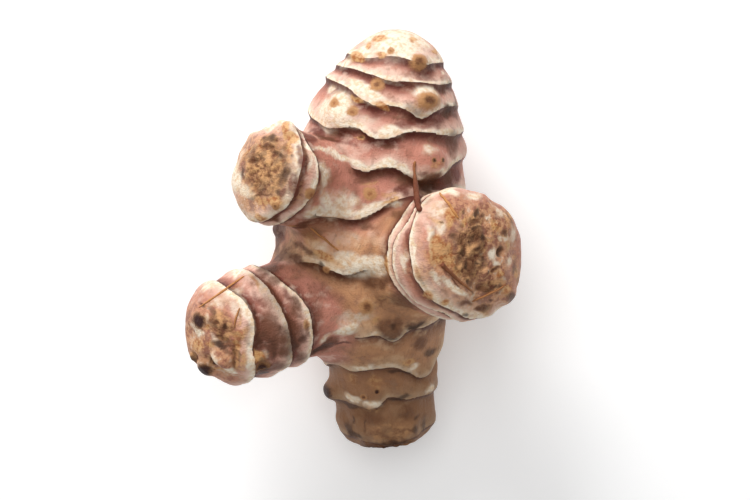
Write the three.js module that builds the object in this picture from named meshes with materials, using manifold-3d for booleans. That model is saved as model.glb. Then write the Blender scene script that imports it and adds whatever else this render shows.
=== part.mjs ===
// A jerusalem artichoke: one knobbly tuber as dug and washed, with a few dried root threads.
// Millimetres, +Z up. The tuber lies on its back on a flat surface: its head points to +Y and
// lies a little higher than its foot, and +X is the side of its thickest knob.
import * as THREE from 'three';
import { mergeVertices } from 'three/addons/utils/BufferGeometryUtils.js';
import Module from 'manifold-3d';

const wasm = await Module();
wasm.setup();

// ---------------------------------------------------------------------------------------------
// Driving dimensions, in mm and degrees
// ---------------------------------------------------------------------------------------------

const trunkLength = 103;
const trunkRise = 12;          // degrees that the trunk's axis climbs from the foot to the head
const footY = -50.1;           // where the trunk's axis ends at the foot
const footZ = 11.0;            // height of the axis a few mm inside the foot
const footInset = 4;
const viewLean = 4;            // degrees that the knobs' common upward direction leans to -Y

const ringStep = 0.8;          // how far a growth ring stands out over the skin below it
const ringDrop = 0.9;          // length over which the ring falls back
const threadGap = 0.4;         // clearance that keeps a root thread off the skin
const threadSides = 6;

const knobSides = 24;
const trunkSides = 34;

// ---------------------------------------------------------------------------------------------
// Small helpers
// ---------------------------------------------------------------------------------------------

const radians = THREE.MathUtils.degToRad;

// A smooth function through [position, value] pairs, constant beyond both ends.
function smoothThrough(pairs) {
  const positions = pairs.map((pair) => pair[0]);
  const values = pairs.map((pair) => pair[1]);
  const curve = new THREE.CubicInterpolant(positions, values, 1);
  return (position) => curve.evaluate(position)[0];
}

// The point of the trunk's axis that is `fromHead` mm from the head, `x` mm to the side and
// arched up by `arch` mm.
function onTrunk(fromHead, x, arch) {
  const y = footY + (trunkLength - fromHead) * Math.cos(radians(trunkRise));
  const z = footZ + (trunkLength - footInset - fromHead) * Math.sin(radians(trunkRise)) + arch;
  return new THREE.Vector3(x, y, z);
}

// A direction given by its compass direction in plan (east, north) and its angle from straight up,
// with the whole fan of knobs leaning back by viewLean.
function outward(east, north, fromUp) {
  const flat = new THREE.Vector2(east, north).normalize().multiplyScalar(Math.sin(radians(fromUp)));
  const direction = new THREE.Vector3(flat.x, flat.y, Math.cos(radians(fromUp)));
  return direction.applyAxisAngle(new THREE.Vector3(1, 0, 0), -radians(viewLean));
}

// ---------------------------------------------------------------------------------------------
// Limbs: the trunk and its knobs. Each is turned on a lathe as a straight limb with its tip at
// the origin, and then bent onto its axis.
// ---------------------------------------------------------------------------------------------

// Height of the growth rings over the plain limb: each swells towards its lip and then drops.
function ringHeight(rings, s) {
  const next = rings.findIndex((ring) => s <= ring);
  if (next < 0) {
    return 0;
  }
  const start = next === 0 ? 0 : rings[next - 1];
  const since = (s - start) / (rings[next] - start);
  const afterDrop = next === 0 ? 1 : THREE.MathUtils.smoothstep(s - start, 0, ringDrop);
  return ringStep * (since * since + (1 - afterDrop) * (1 - since * since));
}

// The outline of a limb at s mm from its tip: a girth with round ends and its growth rings.
function limbRadius(limb, s) {
  const tip = Math.max(0, 1 - s / limb.dome.length);
  let round = (1 - tip ** limb.dome.power) ** (1 / limb.dome.power);
  if (limb.foot) {
    const end = Math.max(0, 1 - (limb.length - s) / limb.foot.length);
    round *= (1 - end ** limb.foot.power) ** (1 / limb.foot.power);
  }
  return (limb.girthAt(s) + ringHeight(limb.rings, s)) * round;
}

// Positions along a limb that its outline needs: close together on the round ends and at rings.
function stations(limb) {
  const list = [];
  const domeSteps = 7;
  for (let i = 1; i <= domeSteps; i += 1) {
    list.push(limb.dome.length * (1 - Math.cos((i / domeSteps) * Math.PI / 2)));
  }
  const plainStep = 6;
  for (let s = limb.dome.length + plainStep; s < limb.length - plainStep / 2; s += plainStep) {
    list.push(s);
  }
  for (const ring of limb.rings) {
    list.push(ring - 2 * ringDrop, ring, ring + ringDrop);
  }
  if (limb.foot) {
    const footSteps = 5;
    for (let i = 1; i < footSteps; i += 1) {
      list.push(limb.length - limb.foot.length * (1 - Math.sin((i / footSteps) * Math.PI / 2)));
    }
  }
  const closest = 0.4;
  return list
    .filter((s) => s > closest && s < limb.length - closest)
    .sort((a, b) => a - b)
    .filter((s, i, all) => i === 0 || s - all[i - 1] > closest);
}

// The axis point and the two directions across the axis at s mm from the tip.
function crossFrame(limb, s) {
  const along = THREE.MathUtils.clamp(s / limb.length, 0, 1);
  const point = limb.axis.getPointAt(along);
  const tangent = limb.axis.getTangentAt(along);
  const across = limb.up.clone().addScaledVector(tangent, -limb.up.dot(tangent)).normalize();
  const side = new THREE.Vector3().crossVectors(tangent, across);
  return { point, across, side };
}

// The axis point at s, and the direction that looks out from it at `angle` degrees round the limb.
function lookOut(limb, s, angle) {
  const { point, across, side } = crossFrame(limb, s);
  const out = across.multiplyScalar(Math.cos(radians(angle)));
  out.addScaledVector(side, Math.sin(radians(angle)));
  return { point, out };
}

function makeLimb({ points, girth, dome, foot = null, rings = [], up, sides }) {
  const axis = new THREE.CatmullRomCurve3(points);
  return {
    axis,
    length: axis.getLength(),
    girthAt: smoothThrough(girth),
    dome,
    foot,
    rings,
    up,
    sides,
  };
}

// A knob grows out of the trunk's axis, so its points run from its tip back to that axis.
function makeKnob({ from, direction, length, girth, dome, rings }) {
  const points = [length, length / 2, 0].map(
    (distance) => from.clone().addScaledVector(direction, distance),
  );
  const up = new THREE.Vector3(0, 1, 0);
  return makeLimb({ points, girth, dome, rings, up, sides: knobSides });
}

function limbGeometry(limb) {
  const outline = [new THREE.Vector2(0, 0)];
  for (const s of stations(limb)) {
    outline.push(new THREE.Vector2(limbRadius(limb, s), s));
  }
  if (!limb.foot) {
    outline.push(new THREE.Vector2(limbRadius(limb, limb.length), limb.length));
  }
  outline.push(new THREE.Vector2(0, limb.length));
  const geometry = new THREE.LatheGeometry(outline, limb.sides);
  const position = geometry.attributes.position;
  for (let i = 0; i < position.count; i += 1) {
    const { point, across, side } = crossFrame(limb, position.getY(i));
    point.addScaledVector(across, position.getX(i)).addScaledVector(side, -position.getZ(i));
    position.setXYZ(i, point.x, point.y, point.z);
  }
  return geometry;
}

// ---------------------------------------------------------------------------------------------
// Solids and back
// ---------------------------------------------------------------------------------------------

function toSolid(geometry) {
  const bare = geometry.clone();
  bare.deleteAttribute('normal');
  bare.deleteAttribute('uv');
  const merged = mergeVertices(bare, 1e-4);
  const mesh = new wasm.Mesh({
    numProp: 3,
    vertProperties: new Float32Array(merged.attributes.position.array),
    triVerts: new Uint32Array(merged.index.array),
  });
  const solid = new wasm.Manifold(mesh);
  return solid;
}

function toGeometry(solid) {
  const mesh = solid.getMesh();
  const geometry = new THREE.BufferGeometry();
  geometry.setAttribute('position', new THREE.BufferAttribute(mesh.vertProperties, 3));
  geometry.setIndex(new THREE.BufferAttribute(mesh.triVerts, 1));
  geometry.computeVertexNormals();
  return geometry;
}

// ---------------------------------------------------------------------------------------------
// The skeleton of this tuber
// ---------------------------------------------------------------------------------------------

// The trunk's axis as [from the head, x, arch]: it sways to the left and arches up in the middle.
const trunkSway = [
  [0, 11.9, 0], [10, 10.3, 0.2], [22, 8.3, 0.5], [38, 6.5, 1.3], [52, 3.1, 2.3],
  [62, 4.5, 2.5], [72, 6.7, 1.7], [84, 7.3, 0.6], [103, 8.9, 0],
];

const trunk = makeLimb({
  points: trunkSway.map(([fromHead, x, arch]) => onTrunk(fromHead, x, arch)),
  girth: [
    [0, 16.9], [8, 16.5], [18, 18.1], [28, 19.1], [40, 19.9], [52, 21.4],
    [62, 19.8], [70, 17.8], [78, 14.4], [86, 12.8], [92, 12.4], [103, 11.7],
  ],
  dome: { length: 26, power: 2 },
  foot: { length: 5, power: 2.4 },
  rings: [5.6, 9.3, 15.2, 22, 30, 40, 53.5, 71, 80.5, 90],
  up: new THREE.Vector3(0, 0, 1),
  sides: trunkSides,
});

const knobs = {
  // Short and blunt, by the left shoulder.
  shoulder: makeKnob({
    from: onTrunk(42, 4.5, 1.6),
    direction: outward(-0.96, 0.28, 45),
    length: 38.5,
    girth: [[0, 11.3], [6, 11.5], [14, 11], [38, 11.5]],
    dome: { length: 6, power: 2.4 },
    rings: [4, 8],
  }),
  // The thickest one, on the right side.
  right: makeKnob({
    from: onTrunk(55, 5.5, 2.4),
    direction: outward(1, 0, 38),
    length: 40.5,
    girth: [[0, 14.4], [7, 14.8], [16, 14.3], [40, 14]],
    dome: { length: 7, power: 2.5 },
    rings: [7.5, 12],
  }),
  // The longest one, on the lower left.
  left: makeKnob({
    from: onTrunk(62.5, 5.5, 2.5),
    direction: outward(-0.94, -0.315, 62),
    length: 50,
    girth: [[0, 12], [8, 12.8], [18, 13.4], [26, 13], [50, 13.4]],
    dome: { length: 10, power: 2.15 },
    rings: [9.5, 16.5, 23],
  }),
  // A blunt one underneath, which carries most of the weight.
  under: makeKnob({
    from: onTrunk(38, 4, 1.3),
    direction: new THREE.Vector3(-0.04, 0.05, -1).normalize(),
    length: 26,
    girth: [[0, 12], [8, 12.8], [26, 13.5]],
    dome: { length: 6, power: 2.6 },
    rings: [],
  }),
};

// Buds: the limb each is on, s from that limb's tip, the angle round it in degrees, how far its
// mound spreads and how high it stands.
const buds = [
  { limb: trunk, s: 4.8, angle: -32, spread: 2.2, height: 0.8 },
  { limb: trunk, s: 13, angle: -28, spread: 3.6, height: 1.4 },
  { limb: trunk, s: 19.4, angle: 54, spread: 4.4, height: 1.7 },
  { limb: trunk, s: 28, angle: -35, spread: 4.2, height: 1.3 },
  { limb: trunk, s: 24, angle: 165, spread: 3.6, height: 1.2 },
  { limb: trunk, s: 62, angle: 5, spread: 2.8, height: 0.9 },
  { limb: trunk, s: 66, angle: -140, spread: 3.2, height: 1.1 },
  { limb: trunk, s: 88.5, angle: 78, spread: 2.8, height: 1.2 },
  { limb: knobs.left, s: 3.5, angle: 63, spread: 3.2, height: 0.9 },
  { limb: knobs.left, s: 11.5, angle: 113, spread: 3, height: 1 },
  { limb: knobs.right, s: 11, angle: 100, spread: 3.2, height: 1 },
];

// ---------------------------------------------------------------------------------------------
// The tuber: trunk, knobs and buds grown together in one solid, worn flat where it lies
// ---------------------------------------------------------------------------------------------

// The part of a ball that shows over the skin is a mound `height` high and `spread` to each side.
function budGeometry({ limb, s, angle, spread, height }) {
  const { point, out } = lookOut(limb, s, angle);
  point.addScaledVector(out, limbRadius(limb, s));
  const reach = 0.5;
  const slope = (limbRadius(limb, s + reach) - limbRadius(limb, s - reach)) / (2 * reach);
  const tangent = limb.axis.getTangentAt(s / limb.length);
  const normal = out.addScaledVector(tangent, -slope).normalize();
  const ball = (spread ** 2 + height ** 2) / (2 * height);
  point.addScaledVector(normal, height - ball);
  const geometry = new THREE.SphereGeometry(ball, 16, 12);
  geometry.translate(point.x, point.y, point.z);
  return geometry;
}

// The surface below the tuber, as a block whose top is the plane z = 0.
function groundGeometry() {
  const size = 200;
  const geometry = new THREE.BoxGeometry(size, size, size);
  geometry.translate(0, 0, -size / 2);
  return geometry;
}

function tuberGeometry() {
  let tuber = toSolid(limbGeometry(trunk));
  for (const knob of Object.values(knobs)) {
    tuber = tuber.add(toSolid(limbGeometry(knob)));
  }
  for (const bud of buds) {
    tuber = tuber.add(toSolid(budGeometry(bud)));
  }
  return toGeometry(tuber.subtract(toSolid(groundGeometry())));
}

const skin = new THREE.MeshStandardMaterial({ color: 0xc59a7d, roughness: 0.72, metalness: 0 });
const tuber = new THREE.Mesh(tuberGeometry(), skin);
tuber.name = 'tuber';
tuber.updateMatrixWorld(true);

// ---------------------------------------------------------------------------------------------
// Root threads: dried fine roots that lie over the skin
// ---------------------------------------------------------------------------------------------

// A point `lift` mm over the skin, found by looking in at the limb from outside.
function overSkin(limb, s, angle, lift) {
  const { point, out } = lookOut(limb, s, angle);
  const outside = 60;
  const look = new THREE.Raycaster(point.addScaledVector(out, outside), out.negate());
  const [hit] = look.intersectObject(tuber);
  return hit.point.addScaledVector(hit.face.normal, lift);
}

const { right, left } = knobs;

// Each thread has its thickness and its stops, as [limb, s from the tip, angle round the limb].
// Between two stops on one limb it follows the skin, and from limb to limb it spans the gap.
const threads = {
  root_thread_waist: {
    thickness: 0.9,
    stops: [[trunk, 26, -22], [trunk, 29, -24], [right, 12.6, -44], [right, 10.4, -39]],
  },
  root_thread_shoulder: {
    thickness: 0.6,
    stops: [[trunk, 49, 29], [trunk, 51, 24], [trunk, 50.5, 16]],
  },
  root_thread_right_ring: {
    thickness: 0.6,
    stops: [[right, 11.8, -12], [right, 8.4, -20], [right, 5.4, -28]],
  },
  root_thread_right_face: {
    thickness: 0.7,
    stops: [[right, 5, -118], [right, 5.4, -134], [right, 5.8, -150]],
  },
  root_thread_right_edge: {
    thickness: 0.7,
    stops: [[right, 5.6, -168], [right, 5, -186], [right, 5.6, -202]],
  },
  root_thread_left_side: {
    thickness: 0.7,
    stops: [[left, 4.4, 20], [left, 8.2, 25], [left, 13.6, 19]],
  },
  root_thread_left_ring: {
    thickness: 0.6,
    stops: [[left, 8.8, 50], [left, 7.4, 58], [left, 6.2, 68]],
  },
};

function threadRoute(stops, lift) {
  const between = 4;
  const points = [];
  stops.forEach(([limb, s, angle], i) => {
    points.push(overSkin(limb, s, angle, lift));
    const [nextLimb, nextS, nextAngle] = stops[i + 1] ?? [];
    if (nextLimb === limb) {
      for (let k = 1; k < between; k += 1) {
        const part = k / between;
        const onS = THREE.MathUtils.lerp(s, nextS, part);
        const onAngle = THREE.MathUtils.lerp(angle, nextAngle, part);
        points.push(overSkin(limb, onS, onAngle, lift));
      }
    }
  });
  return new THREE.CatmullRomCurve3(points);
}

function threadGeometry({ thickness, stops }) {
  const route = threadRoute(stops, thickness / 2 + threadGap);
  const section = new THREE.Shape();
  const radius = thickness / 2;
  section.moveTo(radius, 0);
  for (let i = 1; i < threadSides; i += 1) {
    const turn = (i / threadSides) * 2 * Math.PI;
    section.lineTo(radius * Math.cos(turn), radius * Math.sin(turn));
  }
  const stepLength = 1.2;
  const steps = Math.ceil(route.getLength() / stepLength);
  return new THREE.ExtrudeGeometry(section, { steps, extrudePath: route, bevelEnabled: false });
}

const driedRoot = new THREE.MeshStandardMaterial({ color: 0x8a5a3c, roughness: 0.85, metalness: 0 });

const artichoke = new THREE.Group();
artichoke.add(tuber);
for (const [name, thread] of Object.entries(threads)) {
  const mesh = new THREE.Mesh(threadGeometry(thread), driedRoot);
  mesh.name = name;
  artichoke.add(mesh);
}

export default artichoke;
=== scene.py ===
# %% [markdown]
# # A Jerusalem artichoke tuber
# The object is one knobbly tuber that lies on its back, with a few dried root threads on its skin.
# The frame holds its plain solid at its real size. This lesson gives it the finish of the real
# thing: ringed skin with ragged lips, buds, corky knob ends and fine roots. The shaping below is
# done in millimetres with numpy, and each finished mesh is scaled to metres when it is made.

# %% Load the frame
import math

import bpy
import numpy as np
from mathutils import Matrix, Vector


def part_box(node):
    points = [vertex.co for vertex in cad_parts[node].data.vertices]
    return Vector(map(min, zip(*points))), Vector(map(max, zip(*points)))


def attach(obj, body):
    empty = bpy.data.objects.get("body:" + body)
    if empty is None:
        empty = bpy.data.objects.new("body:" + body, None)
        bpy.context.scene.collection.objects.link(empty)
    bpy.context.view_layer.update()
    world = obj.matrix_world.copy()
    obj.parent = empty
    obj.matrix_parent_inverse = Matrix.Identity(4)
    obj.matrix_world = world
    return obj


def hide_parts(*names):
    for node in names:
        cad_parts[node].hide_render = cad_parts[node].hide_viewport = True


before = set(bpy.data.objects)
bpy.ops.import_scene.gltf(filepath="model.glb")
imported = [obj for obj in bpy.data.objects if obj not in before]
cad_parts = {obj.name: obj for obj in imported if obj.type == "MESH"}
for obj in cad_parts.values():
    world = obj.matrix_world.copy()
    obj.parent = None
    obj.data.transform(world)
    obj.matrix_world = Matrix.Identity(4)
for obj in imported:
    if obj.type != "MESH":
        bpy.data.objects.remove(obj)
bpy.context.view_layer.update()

import openvdb
from mathutils import Vector, noise
from mathutils.bvhtree import BVHTree

MM = 0.001
tuber_box = np.array([list(corner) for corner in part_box("tuber")]) / MM
print("the tuber's box in mm:", tuber_box.round(1).tolist())

# %% [markdown]
# ## Floor, light and camera
# The tuber is shown from above, as on a worktable under a soft window. One large lamp beyond the
# head and a little to its left gives the long gradient from the bright head to the dim foot. A
# weaker one overhead and a pale sky fill the shadows. The window lamp stands low, because light
# that grazes the skin shows its rings, and it is large, because a hard shadow would hide them.


# %% Floor
def make_floor(half_width):
    mesh = bpy.data.meshes.new("floor")
    corners = [(-half_width, -half_width, 0), (half_width, -half_width, 0),
               (half_width, half_width, 0), (-half_width, half_width, 0)]
    mesh.from_pydata(corners, [], [(0, 1, 2, 3)])
    floor = bpy.data.objects.new("floor", mesh)
    bpy.context.scene.collection.objects.link(floor)
    return floor


floor = make_floor(half_width=3.0)
print("floor is", floor.dimensions.x, "m wide")


# %% Lamps and sky
def add_lamp(name, direction, distance, size, power):
    """A round lamp that looks at the tuber's middle from a direction."""
    data = bpy.data.lights.new(name, "AREA")
    data.shape = "DISK"
    data.size = size
    data.energy = power
    lamp = bpy.data.objects.new(name, data)
    bpy.context.scene.collection.objects.link(lamp)
    towards_lamp = Vector(direction).normalized()
    lamp.location = towards_lamp * distance
    lamp.rotation_mode = "QUATERNION"
    lamp.rotation_quaternion = towards_lamp.to_track_quat("Z", "Y")
    return lamp


add_lamp("window", direction=(-0.30, 0.80, 0.52), distance=0.80, size=0.34, power=4.9)
add_lamp("overhead", direction=(-0.1, 0.25, 1.0), distance=0.9, size=0.6, power=1.9)
scene = bpy.context.scene
scene.world = bpy.data.worlds.new("sky")
scene.world.use_nodes = True
sky = scene.world.node_tree.nodes["Background"]
sky.inputs["Color"].default_value = (1.0, 1.0, 1.0, 1)
sky.inputs["Strength"].default_value = 0.34
scene.view_settings.view_transform = "Standard"


# %% Camera
def make_camera(target, distance, lean, width_seen):
    """Looks down on the tuber; the picture's top is +Y, and lean tips the camera towards it."""
    data = bpy.data.cameras.new("camera")
    data.lens = data.sensor_width * distance / width_seen
    data.clip_start = 0.01
    camera = bpy.data.objects.new("camera", data)
    scene.collection.objects.link(camera)
    back = Vector((0, math.sin(lean), math.cos(lean)))
    camera.location = Vector(target) + back * distance
    camera.rotation_euler = (-lean, 0, 0)
    scene.camera = camera
    return camera


camera = make_camera(target=(0.00545, -0.0017, 0.025), distance=0.54,
                     lean=math.radians(4), width_seen=0.18075)
print("lens:", round(camera.data.lens, 1), "mm")

# %% [markdown]
# ## The skeleton
# A tuber like this is a swollen stem with side shoots. It could be sculpted by hand, but a
# skeleton is easier to measure and to change: each limb has an axis, a girth along it and a round
# end. A point near a limb has three coordinates: how far it is along the axis from the tip, how
# far off the axis, and the angle round it. The rings are placed with them.


# %% Smooth curves through a few stops
def smooth_through(stops, values, at):
    """A smooth curve through values given at increasing stops, read at the positions at."""
    stops = np.asarray(stops, float)
    values = np.asarray(values, float)
    slopes = np.gradient(values, stops, axis=0)
    i = np.clip(np.searchsorted(stops, at) - 1, 0, len(stops) - 2)
    width = stops[i + 1] - stops[i]
    t = np.clip((at - stops[i]) / width, 0, 1)
    if values.ndim > 1:
        width, t = width[:, None], t[:, None]
    lead = (2 * t - 3) * t**2 + 1
    return (lead * values[i] + (1 - lead) * values[i + 1]
            + width * t * (t - 1) * ((t - 1) * slopes[i] + t * slopes[i + 1]))


print("a quarter past the first of 0, 1, 0:", smooth_through([0, 1, 2], [0, 1, 0], [0.25]))


# %% A limb
class Limb:
    """A bent, round-ended limb. Its points run from the tip to the base, in mm."""

    def __init__(self, points, girth, dome, up, foot=(1e-6, 2), first_steps=400, steps=120):
        points = np.asarray(points, float)
        gaps = np.linalg.norm(np.diff(points, axis=0), axis=1)
        stops = np.concatenate([[0], np.cumsum(gaps)])
        fine = smooth_through(stops, points, np.linspace(0, stops[-1], first_steps))
        gone = np.concatenate([[0], np.cumsum(np.linalg.norm(np.diff(fine, axis=0), axis=1))])
        self.length = gone[-1]
        self.s = np.linspace(0, self.length, steps)
        self.axis = self.spread(gone, fine, self.s)
        tangent = np.gradient(self.axis, self.s, axis=0)
        self.tangent = tangent / np.linalg.norm(tangent, axis=1)[:, None]
        self.girth, self.dome, self.foot = girth, dome, foot
        self.up = np.asarray(up, float)
        self.rings = []

    @staticmethod
    def spread(stops, table, at):
        return np.stack([np.interp(at, stops, column) for column in table.T], 1)

    def along(self, s):
        """The axis point and the direction of the axis at s."""
        return self.spread(self.s, self.axis, s), self.spread(self.s, self.tangent, s)

    def across(self, tangent):
        """The two directions across the axis that angles are counted from and towards."""
        u = self.up - (tangent @ self.up)[:, None] * tangent
        u /= np.linalg.norm(u, axis=1)[:, None]
        return u, np.cross(tangent, u)

    def locate(self, points, rounds=4):
        """How far along, how far off and at which angle (degrees) each point lies."""
        s = (points - self.axis[0]) @ (self.axis[-1] - self.axis[0]) / self.length
        for _ in range(rounds):
            s = np.clip(s, 0, self.length)
            middle, tangent = self.along(s)
            s = s + ((points - middle) * tangent).sum(1)
        middle, tangent = self.along(s)
        off = points - middle
        off -= (off * tangent).sum(1)[:, None] * tangent
        u, v = self.across(tangent)
        angle = np.degrees(np.arctan2((off * v).sum(1), (off * u).sum(1)))
        return s, np.linalg.norm(off, axis=1), angle

    def field(self, points):
        """Roughly the distance to the limb's plain surface: negative inside."""
        s, off, _ = self.locate(points)
        stops, girths = np.transpose(self.girth)
        girth = smooth_through(stops, girths, s)
        tip = np.maximum(0, 1 - s / self.dome[0])
        end = np.maximum(0, 1 - (self.length - s) / self.foot[0])
        power = np.where(tip > 0, self.dome[1], self.foot[1])
        ratio = ((off / girth) ** power + np.maximum(tip, end) ** power) ** (1 / power)
        return (ratio - 1) * girth


print("a limb knows how to", [n for n in vars(Limb) if not n.startswith("_")])

# %% [markdown]
# ## The trunk and its knobs
# These are the same limbs as in the plain solid: a trunk that lies on its back with its head a
# little raised, a short blunt knob by the left shoulder, the thickest one on the right, the
# longest on the lower left, and a blunt one underneath on which the tuber rests. They are a
# little thinner here, because the rings add their height to them.

# %% Trunk
trunk_length, trunk_rise = 103.0, math.radians(12)
foot_y, foot_z, foot_inset = -50.1, 11.0, 4.0


def on_trunk(from_head, x, arch):
    """A point of the trunk's axis, from_head mm from the head and arched up a little."""
    y = foot_y + (trunk_length - from_head) * math.cos(trunk_rise)
    z = foot_z + (trunk_length - foot_inset - from_head) * math.sin(trunk_rise) + arch
    return np.array([x, y, z])


trunk_sway = [(0, 11.9, 0), (10, 10.3, 0.2), (22, 8.3, 0.5), (38, 6.5, 1.3), (52, 3.1, 2.3),
              (62, 4.5, 2.5), (72, 6.7, 1.7), (84, 7.3, 0.6), (103, 8.9, 0)]
trunk = Limb(
    points=[on_trunk(*stop) for stop in trunk_sway],
    girth=[(0, 16.6), (8, 16.3), (18, 17.8), (28, 18.9), (40, 19.7), (52, 21.1),
           (62, 19.5), (70, 17.5), (78, 14.3), (86, 12.7), (92, 12.3), (103, 11.7)],
    dome=(26, 2.0), foot=(5, 2.4), up=(0, 0, 1))
print("trunk is", round(trunk.length, 1), "mm long")


# %% Knobs
def outward(east, north, from_up, lean=math.radians(4)):
    """A direction from its compass direction in plan and its angle from straight up."""
    flat = np.array([east, north]) / math.hypot(east, north) * math.sin(math.radians(from_up))
    x, y, z = flat[0], flat[1], math.cos(math.radians(from_up))
    return np.array([x, y * math.cos(lean) + z * math.sin(lean),
                     z * math.cos(lean) - y * math.sin(lean)])


def make_knob(start, direction, length, girth, dome):
    direction = np.asarray(direction) / np.linalg.norm(direction)
    points = [start + direction * reach for reach in (length, length / 2, 0)]
    return Limb(points, girth, dome, up=(0, 1, 0))


shoulder = make_knob(on_trunk(42, 4.5, 1.6), outward(-0.96, 0.28, 45), 38.5,
                     girth=[(0, 11.2), (6, 11.5), (14, 10.8), (38, 10.6)], dome=(6, 2.4))
right = make_knob(on_trunk(55, 5.5, 2.4), outward(1, 0, 38), 40.5,
                  girth=[(0, 14.4), (7, 14.8), (16, 14.2), (40, 13)], dome=(7, 2.5))
left = make_knob(on_trunk(62.5, 5.5, 2.5), outward(-0.94, -0.315, 62), 50,
                 girth=[(0, 11.9), (8, 12.7), (18, 13.6), (28, 12.6), (50, 13)],
                 dome=(10, 2.15))
under = make_knob(on_trunk(38, 4, 1.3), (-0.04, 0.05, -1), 26,
                  girth=[(0, 11.5), (10, 12.2), (26, 13)], dome=(6, 2.6))
limbs = [trunk, shoulder, right, left, under]
blends = {shoulder: 5, right: 5, left: 7, under: 7}
print("knobs are", [round(knob.length, 1) for knob in limbs[1:]], "mm long from the trunk's axis")

# %% [markdown]
# ## One smooth skin over all limbs
# Joining five meshes with booleans would leave hard seams where the knobs leave the trunk. Here
# the limbs' distance fields are melted together instead, and OpenVDB meshes the place where the
# melted field is zero. One round of subdivision and a pull back onto the field then give an even
# net of small quads, fine enough to carry the rings.


# %% The melted field, worked out once on a grid of points
def melt(a, b, reach):
    """The smaller of two distances, rounded off where they are within reach of each other."""
    share = np.clip(0.5 + 0.5 * (b - a) / reach, 0, 1)
    return b * (1 - share) + a * share - reach * share * (1 - share)


spacing = 1.0
room_below, room_above = (3, 3, 6), 4
low = tuber_box[0] - room_below
ticks = [np.arange(a, b, spacing) for a, b in zip(low, tuber_box[1] + room_above)]
grid_points = np.stack(np.meshgrid(*ticks, indexing="ij"), -1)
field_grid = trunk.field(grid_points.reshape(-1, 3))
for knob, reach in blends.items():
    field_grid = melt(field_grid, knob.field(grid_points.reshape(-1, 3)), reach)
field_grid = field_grid.reshape(grid_points.shape[:3])
slope_grid = np.stack(np.gradient(field_grid, spacing), -1)
print("grid:", field_grid.shape)


# %% Read the grid anywhere
def read_grid(grid, points):
    """Reads a grid between its points, by their share in each direction."""
    last = np.array(field_grid.shape) - 1.001  # just inside the grid's last cell
    place = np.clip((points - low) / spacing, 0, last)
    corner = place.astype(int)
    part = place - corner
    total = 0
    for step in np.ndindex(2, 2, 2):
        share = np.prod(np.where(step, part, 1 - part), axis=1)
        value = grid[tuple((corner + step).T)]
        total = total + (share if value.ndim == 1 else share[:, None]) * value
    return total


def onto_skin(points, rounds=3):
    """Pulls points onto the plain skin, and gives the outward normals there."""
    for _ in range(rounds):
        slope = read_grid(slope_grid, points)
        points = points - slope * (read_grid(field_grid, points) / (slope**2).sum(1))[:, None]
    slope = read_grid(slope_grid, points)
    return points, slope / np.linalg.norm(slope, axis=1)[:, None]


above_all = 62.0  # a height in mm that clears the whole tuber


def first_skin(start, direction, reach=60.0, stride=0.2):
    """The first skin point met on the way from start in a direction."""
    steps = np.arange(0, reach, stride)
    path = np.asarray(start, float) + steps[:, None] * np.asarray(direction, float)
    inside = read_grid(field_grid, path) < 0
    return path[np.argmax(inside != inside[0])]


def on_top(x, y):
    """The skin's highest point over a place in plan."""
    return first_skin((x, y, above_all), (0, 0, -1), reach=above_all)


def at_side(limb, s, angle):
    """The skin point s mm from a limb's tip, at an angle round it."""
    middle, tangent = limb.along(np.array([float(s)]))
    u, v = limb.across(tangent)
    turn = math.radians(angle)
    return first_skin(middle[0], math.cos(turn) * u[0] + math.sin(turn) * v[0])


print("the skin over the middle is at", on_top(0, 0).round(1))


# %% A first net of quads
def first_net(cells_deep=3):
    """Quads where the melted field is zero; only cells_deep cells on each side matter."""
    reach = cells_deep * spacing
    grid = openvdb.FloatGrid(reach)
    grid.copyFromArray(np.clip(field_grid, -reach, reach).astype(np.float32))
    points, quads = grid.convertToQuads(0.0)
    return points * spacing + low, quads


net_points, net_quads = first_net()
print("first net:", len(net_quads), "quads")


# %% An even, finer net
def subdivided(points, quads):
    """One round of Catmull-Clark subdivision, made with a modifier."""
    mesh = bpy.data.meshes.new("net")
    mesh.from_pydata(points.tolist(), [], quads.tolist())
    carrier = bpy.data.objects.new("net", mesh)
    scene.collection.objects.link(carrier)
    carrier.modifiers.new("finer", "SUBSURF").levels = 1
    shape = carrier.evaluated_get(bpy.context.evaluated_depsgraph_get()).to_mesh()
    finer = np.empty(len(shape.vertices) * 3)
    shape.vertices.foreach_get("co", finer)
    corners = np.empty(len(shape.loops), int)
    shape.loops.foreach_get("vertex_index", corners)
    edges = np.empty(len(shape.edges) * 2, int)
    shape.edges.foreach_get("vertices", edges)
    bpy.data.objects.remove(carrier)
    bpy.data.meshes.remove(mesh)
    return finer.reshape(-1, 3), corners.reshape(-1, 4), edges.reshape(-1, 2)


def neighbour_mean(values, edges):
    """The mean of each point's neighbours along the net's edges."""
    total = np.zeros_like(values)
    count = np.zeros(len(values))
    for a, b in (edges.T, edges.T[::-1]):
        np.add.at(total, a, values[b])
        np.add.at(count, a, 1)
    return total / (count if values.ndim == 1 else count[:, None])


def evened(points, normals, edges, strength=0.5):
    """Moves each point towards the middle of its neighbours, but only along the skin."""
    move = neighbour_mean(points, edges) - points
    move -= (move * normals).sum(1)[:, None] * normals
    return points + strength * move


evening_rounds = 4
skin_points, skin_quads, skin_edges = subdivided(net_points, net_quads)
for _ in range(evening_rounds):
    skin_points, skin_normals = onto_skin(skin_points)
    skin_points = evened(skin_points, skin_normals, skin_edges)
skin_points, skin_normals = onto_skin(skin_points)
print("fine net:", len(skin_quads), "quads")

# %% [markdown]
# ## Rings
# The stem's growth rings are the scars of its scale leaves. On the real tuber each stretch of
# skin swells towards the next ring and ends there in a ragged, pale lip, with a drop under it.
# Colour alone can't cast that shadow, so the steps are real geometry. A ring is a closed smooth
# curve round its limb, given by a few stops of angle and distance from the tip.


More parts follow.
